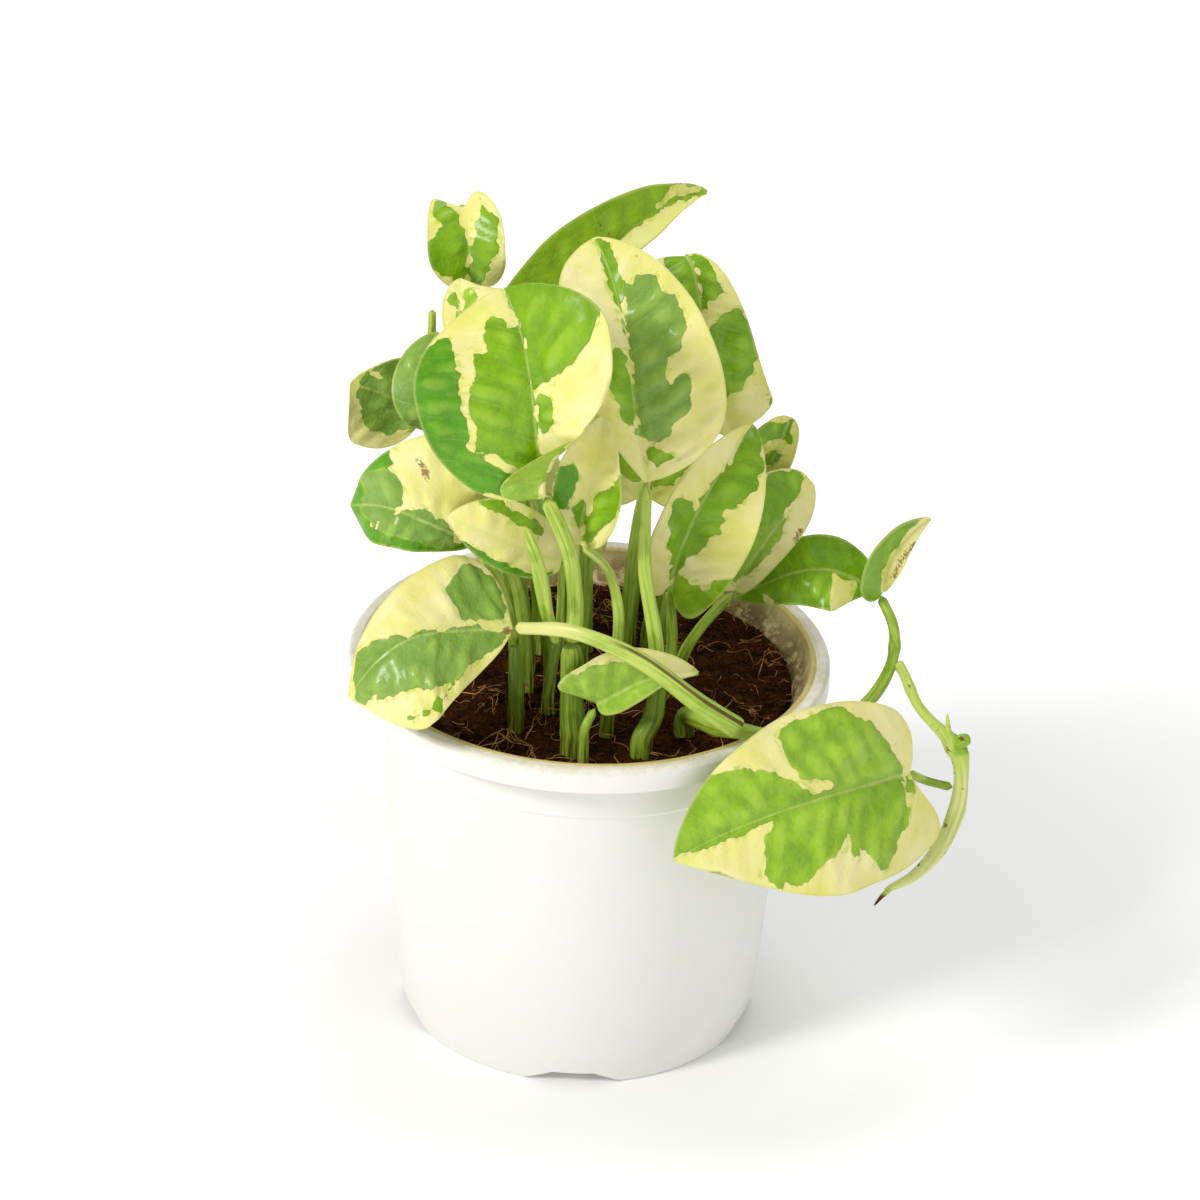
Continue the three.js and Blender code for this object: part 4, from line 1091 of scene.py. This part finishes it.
plant_leaf(
    "left_pale",
    rib=[(-31, -2, 166.5), (-31.3, 0, 171.5), (-32, 4.5, 176), (-31.5, 8, 179.5)],
    face=[(-20, 15), (-10, 45)],
    left=(3.6, 0.5, 1, 0, 0, 1, OVAL),
    right=(11, 0.6, 1, 10, 0, 1, (2.6, 0.7)),
    stalk=from_soil(-9, -3, (-12, -1, 115), (-19, 2, 143), (-27, 2, 160)),
    girth=(1.6, 1.1),
    seed=5,
    patches=[
        (LIGHT, [(-1, 14.1), (-0.2, 11.3), (0.9, 7), (-0.4, 6.9), (-2, 11.7)]),
        (LIGHT, [(1.3, 13.2), (4.9, 12.3), (5.8, 10.3), (2.3, 8.3), (1.4, 11)]),
    ],
)
plant_leaf(
    "right_upper",
    rib=[(18, 12, 185.5), (21.5, 6, 176.5), (24.2, 5, 161), (30.5, 8, 143)],
    face=[(15, 20), (15, -5)],
    left=(11.5, 0.88, 1.3, 5, 0, 0, (3, 0.6)),
    right=(12, 0.4, 0.8, 5, 5, 3, OVAL),
    stalk=from_soil(8, 8, (10, 10, 120), (18, 16, 160), (20.5, 18, 178)),
    girth=(1.8, 1.1),
    seed=6,
    patches=[
        (LEAFY, [(3.8, -2), (2.6, -1.7), (-0.3, -1), (-0.2, 2.5), (-0.6, 7.5), (-0.4, 14.6), (0.2, 21.9),
                 (2.7, 16.9), (5.4, 11), (7.5, 8.1), (6, 2.4)]),
        (LEAFY, [(-1.3, 1), (-3, 3.5), (-4.4, 8.6), (-5.2, 12.9), (-4.6, 14.5), (-1.7, 15.4), (-0.9, 18.5),
                 (-0.4, 14.6), (-1.1, 7.6)]),
        (LEAFY, [(-0.5, 24.5), (-2, 21.3), (-4, 19.3), (-7.5, 18.4), (-9.6, 20.3), (-13, 26.8), (-13, 29.3),
                 (-8.9, 33.9), (-6.8, 35.3), (-6.3, 37.4), (-3.3, 37), (-2.4, 39.2), (-1, 38.4),
                 (-1.6, 35.2), (-0.5, 25.9)]),
        (LIGHT, [(-11, 41.7), (-13, 43.2), (-10.3, 44.7)]),
    ],
)

# ---- left leaves ------------------------------------------------------------------------------
# The clump that leans left: a green leaf with a yellow edge at the far left, a blue-green one on edge,
# a broad cream one below them, and one half hidden under the front leaf.
plant_leaf(
    "left_back",
    rib=[(-39.5, 14, 142.5), (-45, 12, 146.5), (-50.5, 10, 150), (-56, 8, 152.5)],
    face=[(-25, 15), (-20, 10)],
    left=(14, 0.45, 0.8, 0, 5, 2, OVAL),
    right=(12, 0.4, 0.8, 5, 5, 2, (2, 0.8)),
    stalk=from_soil(-12, 12, (-15, 13, 110), (-30, 15, 134)),
    girth=(1.6, 1),
    seed=7,
    patches=[
        (GREY, [(-9, 4), (-9.5, 9), (-7, 13), (-3, 17), (2, 18.5), (6, 17), (16, 14), (16, -4), (0, -4)]),
        (None, [(3, 18.5), (7, 16), (4, 15)]),
    ],
)
plant_leaf(
    "left_edge",
    rib=[(-32, -4, 144), (-35, -6, 152.5), (-39, -4, 160), (-36.5, 4, 168)],
    face=[(-40, 10), (-30, 25)],
    left=(8, 0.55, 1, 15, 0, 0, OVAL),
    right=(8, 0.5, 1, 0, 0, 0, OVAL),
    stalk=from_soil(-14, -7, (-17, -6, 110), (-26, -5, 132)),
    girth=(1.6, 1.1),
    seed=8,
    ground=GREY,
    patches=[(None, [(0.5, 22), (4, 26), (1, 32)])],
)
plant_leaf(
    "lower_left",
    rib=[(-26.5, -16, 126.5), (-36.5, -20, 132.5), (-45.5, -18, 135), (-54.5, -10, 131)],
    face=[(-15, 25), (-35, 15)],
    left=(8.5, 0.7, 1.6, -5, 0, 1, (3, 0.6)),
    right=(25, 0.34, 0.8, 5, 10, 4, (1.3, 1.1)),
    stalk=[(-16.8, -20.5, 104.2), (-20.5, -18, 115.5)],
    girth=(1.6, 1.2),
    seed=9,
    patches=[
        (DEEP, [(14, 24), (10, 24), (5.5, 28), (1.5, 29), (-1.5, 31), (-3.5, 30.5), (-8, 28), (-8, 40),
                (2, 40), (14, 30)]),
        (DEEP, [(-6.2, 33), (-5, 28), (-4.7, 22), (-4.2, 15), (-3, 8), (-1, 2), (-4, -2), (-10, 0),
                (-10, 33)]),
        (GREY, [(-2, 34), (9, 32), (10, 26), (8.5, 23), (4.7, 20.5), (1.4, 20.6), (-1, 24), (-5, 28)]),
        (GREY, [(-6, 28), (-1, 26), (-1.2, 21.9), (2.7, 15.9), (1.7, 8.2), (-1.5, 3), (-6, 3)]),
    ],
    marks=[[(13.6, 19.8), (14.2, 19.1), (11.3, 17), (9.2, 16.6), (9.8, 17.9)]],
)
plant_leaf(
    "under_front",
    rib=[(-7, -16, 122.5), (-16, -20.5, 127.5), (-24.5, -22, 132), (-32.5, -20, 134.5)],
    face=[(0, 30), (-10, 20)],
    left=(6, 0.4, 0.8, 0, 0, 0, OVAL),
    right=(9, 0.5, 0.8, 0, 0, 0, OVAL),
    stalk=from_soil(-9, -15, (-7, -13, 105)),
    girth=(1.6, 0.75),
    seed=10,
    patches=[
        (DEEP, [(-9, 27), (-3.5, 25), (-4.2, 17), (-4.5, 8), (-3.5, 2), (-8, 1)]),
        (LEAFY, [(6, 24.4), (8.5, 19.8), (7, 16.4), (7.1, 9.4), (5.7, 6.1), (4.1, 6.8), (5, 15.3),
                 (5, 21.2)]),
    ],
)

# ---- leaves in the middle ---------------------------------------------------------------------
# A narrow folded leaf between the two large ones, and a small one low in front, seen from above. Both
# are soft living tissue, each on a fleshy stalk of its own that leaves the soil.
plant_leaf(
    "narrow_centre",
    rib=[(-3, -23, 130.5), (-2, -25, 142), (0, -25.5, 153), (1, -24, 163)],
    face=[(5, 5), (0, 30)],
    left=(8, 0.5, 1, 10, 0, 0, OVAL),
    right=(11, 0.5, 1.1, 25, 60, 0, OVAL),
    stalk=from_soil(4.5, -26, (5.5, -25, 97.5), (6, -25, 115.5), (3, -22.5, 124.5)),
    girth=(1.8, 0.9),
    seed=11,
    patches=[
        (LEAFY, [(2.5, 15.4), (9.8, 23), (13, 18.2), (6.5, 9), (2.9, 1.4), (0.4, 1.4), (1.7, 7.3)]),
        (DEEP, [(-9, 17.7), (-5, 22.3), (-3.3, 17.5), (-3.7, 11.3), (-4.9, 7.8), (-8, 11.1)]),
        (LEAFY, [(-3.1, 10.3), (-0.8, 11.5), (0.6, 6.7), (-0.7, 2.6)]),
    ],
)
plant_leaf(
    "low_centre",
    rib=[(2, -37, 98), (7, -36, 100.6), (14.5, -34, 103.7), (24.3, -30, 103)],
    face=[(0, 60), (0, 60)],
    left=(10, 0.3, 0.7, 25, 40, 9, (1.5, 0.9)),
    right=(4.4, 0.3, 0.8, 0, 0, 0, (1.5, 0.9)),
    stalk=from_soil(-0.5, -40, (-0.4, -39.5, 93)),
    girth=(1.3, 1),
    seed=12,
    ground=PALE,
    patches=[
        (None, [(-14, 0), (-9, 0), (-8.4, 8), (-5, 14), (1.5, 20), (1.5, 26), (-14, 20)]),
        (LIGHT, [(-9, -10), (-9, -1), (-3, 1), (-1, -6)]),
    ],
)

# ---- right leaves -----------------------------------------------------------------------------
# The clump that leans right: an upright leaf striped along its midrib, a paler one behind it and a
# small curled one at the back.
plant_leaf(
    "right_centre",
    rib=[(17.5, -12, 114), (21, -14, 130.5), (27.5, -12, 144.5), (34.5, -4, 152)],
    face=[(10, 5), (15, 25)],
    left=(8, 0.4, 0.8, 10, 5, 3, (1.8, 0.9)),
    right=(14, 0.36, 1.3, 10, 5, 12, (1.9, 0.8)),
    stalk=from_soil(18, -8, (18.5, -7, 98), (18, -7.5, 106)),
    girth=(1.6, 1),
    drop=1.5,
    seed=13,
    patches=[
        (LEAFY, [(0, 48), (4.1, 42.8), (7.5, 37), (8.1, 32.4), (7.6, 28.3), (7.6, 26), (5.5, 22.8),
                 (6.7, 18.4), (5.2, 14.9), (4.3, 11.1), (1.5, 9.1), (0.4, 4), (-0.5, 2.8), (-1.8, 7.8),
                 (-1.1, 12.8), (-0.7, 19), (-0.8, 22.8), (0.2, 29.7), (0.6, 35.9), (-0.6, 44.6)]),
        (LEAFY, [(-7.2, 20.9), (-5.8, 22.1), (-3, 21.8), (2.1, 14.8), (2.4, 9.7), (-1.8, 7.8),
                 (-6.4, 17.8)]),
        (LIGHT, [(-1.8, -0.7), (-0.7, 1.5), (1.7, 3.6), (4.6, 3.1), (7.9, 2), (9.5, 5.3), (15, 9.1),
                 (15, -8), (7.8, -16), (-2, -12)]),
    ],
)
plant_leaf(
    "right_low",
    rib=[(32.5, 2, 107), (38, 0, 120), (44, 2, 128.5), (48.5, 8, 132.5)],
    face=[(15, 20), (20, 25)],
    left=(11, 0.5, 0.8, 0, 20, 1, (2.4, 0.7)),
    right=(5.5, 0.5, 1, 10, 10, 1, OVAL),
    stalk=from_soil(21, 1, (25, 2, 97)),
    girth=(1.6, 1.1),
    seed=14,
    patches=[
        (LEAFY, [(-9, 20.6), (-9.5, 25), (-5.2, 31), (-2.3, 32.3), (-1.1, 28.5), (-0.8, 19.1), (-0.8, 15.1),
                 (-2.4, 12.9), (-1.1, 10.9), (-2.9, 8.8), (-4.3, 13.3), (-6.4, 18.6)]),
        (PALE, [(-4, 16), (0.5, 20), (2.5, 13), (1.8, 6), (-1, 2), (-5, 4), (-6, 11)]),
    ],
    marks=[[(4.2, 20.5), (5.2, 20.3), (6, 16.7), (5.2, 15.8)]],
)
plant_leaf(
    "right_small",
    rib=[(38.5, 12, 130.5), (39.5, 10, 137), (41.5, 10, 142.5), (43, 14, 145.5)],
    face=[(10, 30), (10, 20)],
    left=(7, 0.45, 1, 0, 30, 1, OVAL),
    right=(4.5, 0.5, 1, 30, 10, 1, OVAL),
    stalk=from_soil(16, 8, (18, 10, 105), (28, 15, 120)),
    girth=(1.4, 0.65),
    seed=15,
    patches=[
        (LEAFY, [(-8, 12.3), (0.5, 17), (1.9, 12.4), (-6.3, 8.6)]),
        (LEAFY, [(-2.4, 7.7), (1.9, 9.7), (3.5, 6.7), (-1.1, 4.1)]),
    ],
)

# ---- leaves on the vine -----------------------------------------------------------------------
# Where the vine ends, one leaf lies level and one stands rolled; the largest leaf trails from the
# hanging shoot across the front of the pot.
plant_leaf(
    "right_level",
    rib=[(64, -1.6, 109.8), (52.5, -2, 115.5), (42.5, 0, 112), (32.5, 8, 102)],
    face=[(5, 50), (0, 45)],
    left=(9, 0.25, 2.5, -5, -10, 0, (1.8, 0.9)),
    right=(8, 0.4, 1, 5, 0, 0, (1.8, 0.9)),
    seed=16,
    ripple=0.25,
    ground=LEAFY,
    patches=[
        (None, [(-0.8, 11), (-0.6, 5), (-5, 4), (-10, 6), (-9, 11)]),
        (GREY, [(-1.3, 23), (-1.2, 11), (-10, 11), (-10, 23)]),
        (None, [(-2, 33), (-10, 24), (-10, 33)]),
    ],
)
plant_leaf(
    "right_upright",
    rib=[(65.9, -3.2, 111), (65.8, -5, 117.5), (69, -3, 123.3), (75.5, 2, 127.5)],
    face=[(10, 5), (20, 15)],
    left=(7, 0.4, 0.9, 20, 10, 1, (1.6, 0.9)),
    right=(3.2, 0.5, 1.8, 20, 0, 0, (1.5, 1)),
    seed=17,
    patches=[(LEAFY, [(-0.9, -1), (-0.9, 20), (-2.5, 24), (-10, 20), (-10, -2)])],
    marks=[[(1.8, 6), (2.6, 7), (2.7, 19), (1.9, 18)]],
)
plant_leaf(
    "trailing",
    rib=[(73, -30, 79.5), (56, -45.5, 82.5), (37.5, -54, 79.5), (20.5, -58.5, 71.5)],
    face=[(30, 20), (25, 25)],
    left=(22, 0.36, 0.7, 5, -5, 16, (1.7, 0.95)),
    right=(20.5, 0.4, 0.75, 5, -5, 3, (1.8, 0.9)),
    stalk=[(83.3, -20.8, 71), (77.5, -22.8, 73.5)],
    girth=(1, 1),
    drop=1.2,
    ripple=0.5,
    seed=18,
    patches=[
        (LIGHT, [(16.6, 32.8), (19.2, 28.8), (19.8, 24.1), (19, 18.3), (14.5, 10.9), (10.7, 8.6), (3.9, 4),
                 (-1.5, 1.8), (-2, 9.5), (-2, 22.9), (3.8, 22.9), (6.2, 29.3), (14.7, 31.9)]),
        (LIGHT, [(1, 64), (6.2, 60), (10.9, 54), (13.8, 49), (12.7, 41.4), (9.4, 34.5), (5.7, 31.9),
                 (-1.5, 23), (-2, 33.2), (-1.8, 45.7), (-1, 56)]),
        (LIGHT, [(2, 25.4), (0, 33.6), (-2.1, 38.6), (-4.5, 41.4), (-12.3, 44.3), (-16, 41.9),
                 (-15.6, 38.2), (-17.1, 35.9), (-13, 25), (-8.5, 20.1), (-13, 20.9), (-15.2, 19.6),
                 (-11.4, 17.4), (-16.2, 16.1), (-19.2, 13), (-18.6, 10.7), (-11.8, 4.4), (-7.7, 2.6),
                 (2, 3.3)]),
        (LIGHT, [(0, 1.7), (-1.8, -1), (-4.6, -0.7), (-3.3, 2)]),
    ],
)

# ---- leaf over the left rim -------------------------------------------------------------------
# The leaf at the left front lies over the rim. Its long arched stalk grows from the vine at the right,
# crosses the whole front and is drier, with a brown seam, at the vine's end.
plant_leaf(
    "front_left",
    rib=[(-17.2, -29, 112), (-30, -35, 114), (-41.5, -40, 113), (-52.5, -42, 100)],
    face=[(-10, 45), (-30, 35)],
    left=(19, 0.78, 1.9, 0, -10, 0, (3, 0.6)),
    right=(17, 0.28, 0.7, 5, 0, 0, (1.2, 0.9)),
    stalk=[(34, -44.2, 97), (25, -45, 103.4), (11, -43, 113), (-3.5, -38.5, 116.8)],
    girth=(2.5, 1.4),
    flesh=stalk_flesh("sheathed_flesh", rgb(196, 214, 104), rgb(140, 174, 50), 0.0, seam=1.0),
    drop=-0.4,
    seed=19,
    patches=[
        (GREY, [(16, 9), (12.5, 14.1), (8.8, 15.8), (4.8, 14.3), (2.6, 12.7), (1.8, 2.8), (4.7, 0.2),
                (7.5, 0.5), (12.1, 3.8), (15.1, 6.2)]),
        (GREY, [(-0.2, 43.9), (3.1, 41.7), (4.4, 38.1), (4, 35), (2.1, 30.2), (0.8, 29.9), (0.3, 19),
                (0.9, 10.8), (-0.6, 1.3), (-3.4, 3.6), (-7.2, 10.6), (-10.8, 17), (-12.9, 23.4),
                (-12.4, 30.6), (-10.3, 35), (-7.7, 39.6), (-4.5, 42.8), (-4.3, 44.3), (-1.5, 45)]),
        (LEAFY, [(-14.1, 42.1), (-17, 36.7), (-14.5, 23.7), (-11.3, 17), (-18, 28.7)]),
    ],
    marks=[[(-1, -1), (0.5, 1.6), (-0.6, 3), (-1.6, 1.5)]],
)

# ---- leaves at the back -----------------------------------------------------------------------
# Five leaves on the side that faces away, each on a stalk from the soil. They are cream with two green
# patches, one on each half, whose size changes a little from leaf to leaf.
BACK_PATCHES = [
    (LEAFY, [(0.5, 40), (5, 34), (9, 28), (12, 20), (11, 12), (7, 6), (3, 4), (0.5, 6), (0.5, 20)]),
    (LEAFY, [(-0.5, 34), (-4, 30), (-7, 22), (-12, 18), (-14, 10), (-8, 4), (-2, 2), (-0.5, 10)]),
]
BACK_LEAVES = {
    "back_centre": dict(
        rib=[(11, 20, 121), (11, 29, 134), (11, 38, 147), (12, 47, 158)],
        face=[(175, 5), (175, 40)],
        left=(14, 0.35, 0.8, 5, 10, 5, OVAL),
        right=(14, 0.38, 0.8, 5, 10, 5, OVAL),
        stalk=from_soil(9, 15, (10, 16, 104)),
        girth=(1.7, 1.2),
    ),
    "back_left": dict(
        rib=[(-12, 18, 122), (-21, 27, 130), (-30, 36, 133), (-38, 43, 128)],
        face=[(215, 50), (215, 25)],
        left=(14, 0.35, 0.8, 5, 5, 5, OVAL),
        right=(14, 0.35, 0.8, 5, 5, 5, OVAL),
        stalk=from_soil(-5, 14, (-6, 14, 104)),
        girth=(1.7, 1.2),
    ),
    "back_right": dict(
        rib=[(23.5, 16, 106), (31.5, 23, 116), (38.5, 29, 121), (44.5, 35, 118)],
        face=[(145, 45), (145, 30)],
        left=(13, 0.35, 0.8, 5, 5, 4, OVAL),
        right=(13, 0.35, 0.8, 5, 5, 4, OVAL),
        stalk=from_soil(13, 15, (15, 16, 96)),
        girth=(1.6, 1.1),
    ),
    "back_high": dict(
        rib=[(-5, 21, 147), (-9, 28, 155), (-13, 36, 156), (-16, 44, 150)],
        face=[(200, 60), (200, 30)],
        left=(13, 0.35, 0.8, 5, 5, 4, OVAL),
        right=(13, 0.35, 0.8, 5, 5, 4, OVAL),
        stalk=from_soil(-1, 12, (-2.5, 18, 125)),
        girth=(1.7, 1.1),
    ),
    "back_low": dict(
        rib=[(-7, 24, 102), (-10, 33, 108), (-12, 43, 108), (-12, 53, 100)],
        face=[(180, 70), (180, 35)],
        left=(13, 0.35, 0.8, 5, 0, 5, OVAL),
        right=(13, 0.35, 0.8, 5, 0, 5, OVAL),
        stalk=from_soil(-5, 20, (-5.5, 20.5, 94)),
        girth=(1.5, 1.1),
    ),
}
for number, (name, shape) in enumerate(BACK_LEAVES.items()):
    stretch = 0.8 + 0.1 * (number % 3)
    scaled = [(tone, [(x * stretch, y * stretch) for x, y in outline]) for tone, outline in BACK_PATCHES]
    plant_leaf(name, patches=scaled, seed=20 + number, **shape)

# ---- studio -----------------------------------------------------------------------------------
# A seamless pale floor, a bright even sky and three soft lamps; the camera stands where the photograph
# was taken from, looks down on the plant and is turned slightly about its own line of sight.
FLOOR_REACH = 3000
FLOOR_GAP = 0.05
# The floor's glow is painted light, not a lamp.
FLOOR_GLOW = 0.34
GLOW_HALF = 150.0**2  # square of the distance from the pot's axis at which the floor glows by half
GLOW_RISE = 67500.0  # how much that square grows while the glow rises from nothing to full
SKY_LIGHT = 0.43
LAMPS = {  # place in metres, width of the disc, power in watts, tint
    "key": ((-0.8, -0.6, 0.8), 0.3, 7.7, (1.0, 0.985, 0.95)),
    "fill": ((0.7, -0.7, 0.6), 0.9, 1.5, (0.98, 0.99, 1.0)),
    "top": ((0.1, 0.2, 1.2), 0.5, 3.0, (1.0, 1.0, 1.0)),
}
LAMPS_AIM = (0, 0, 0.1)
CAMERA_DISTANCE = 1200
CAMERA_TARGET = (1.86, 0, 104.32)
CAMERA_ELEVATION = 28.38
CAMERA_ROLL = 2.3
LENS = 158.5
SENSOR = 36


def build_floor():
    points = [(x, y, -FLOOR_GAP) for x in (-FLOOR_REACH, FLOOR_REACH) for y in (-FLOOR_REACH, FLOOR_REACH)]
    made = mesh_object("floor", points, [(0, 2, 3, 1)])
    paint = Paint("floor_paint", Specular_IOR_Level=0.0, Emission_Strength=FLOOR_GLOW)
    place = paint.millimetres()
    x, y, _ = paint.parts(place)
    tint = paint.noise(place, 0.002, 1.0)
    white = paint.mix(tint, rgb(250, 250, 250), rgb(252, 252, 251))
    # Painted light: the floor glows more and more away from the pot, so the far floor turns white while the
    # pot's shadow stays.
    away = (x * x + y * y).above(GLOW_HALF, GLOW_RISE)
    glow = paint.mix(away, rgb(0, 0, 0), rgb(255, 255, 255))
    paint.shade(Base_Color=white, Roughness=0.9 + 0.05 * tint, Emission_Color=glow)
    made.data.materials.append(paint.material)
    return made


def place_camera():
    elevation = math.radians(CAMERA_ELEVATION)
    target = (np.array(CAMERA_TARGET) + POT_AXIS) * MM
    ahead = np.array([0, math.cos(elevation), -math.sin(elevation)])
    above = np.array([0, math.sin(elevation), math.cos(elevation)])
    axes = Matrix(((1, above[0], -ahead[0]), (0, above[1], -ahead[1]), (0, above[2], -ahead[2]))).to_4x4()
    roll = Matrix.Rotation(math.radians(CAMERA_ROLL), 4, "Z")
    data = bpy.data.cameras.new("camera")
    data.lens = LENS
    data.sensor_width = SENSOR
    data.clip_start = 0.05
    data.clip_end = 20
    made = bpy.data.objects.new("camera", data)
    made.matrix_world = Matrix.Translation(target - ahead * CAMERA_DISTANCE * MM) @ axes @ roll
    return made


floor = build_floor()
for name, (place, size, power, tint) in LAMPS.items():
    disc = bpy.data.lights.new(name, "AREA")
    disc.shape = "DISK"
    disc.size = size
    disc.energy = power
    disc.color = tint
    light = bpy.data.objects.new(name, disc)
    light.location = Vector(place)
    light.rotation_euler = (Vector(LAMPS_AIM) - light.location).to_track_quat("-Z", "Y").to_euler()
    bpy.context.scene.collection.objects.link(light)
world = bpy.data.worlds.new("sky")
world.use_nodes = True
sky = world.node_tree.nodes["Background"]
sky.inputs["Color"].default_value = (1.0, 1.0, 1.0, 1.0)
sky.inputs["Strength"].default_value = SKY_LIGHT
bpy.context.scene.world = world
bpy.context.scene.view_settings.view_transform = "Standard"
camera = place_camera()
bpy.context.scene.collection.objects.link(camera)
bpy.context.scene.camera = camera
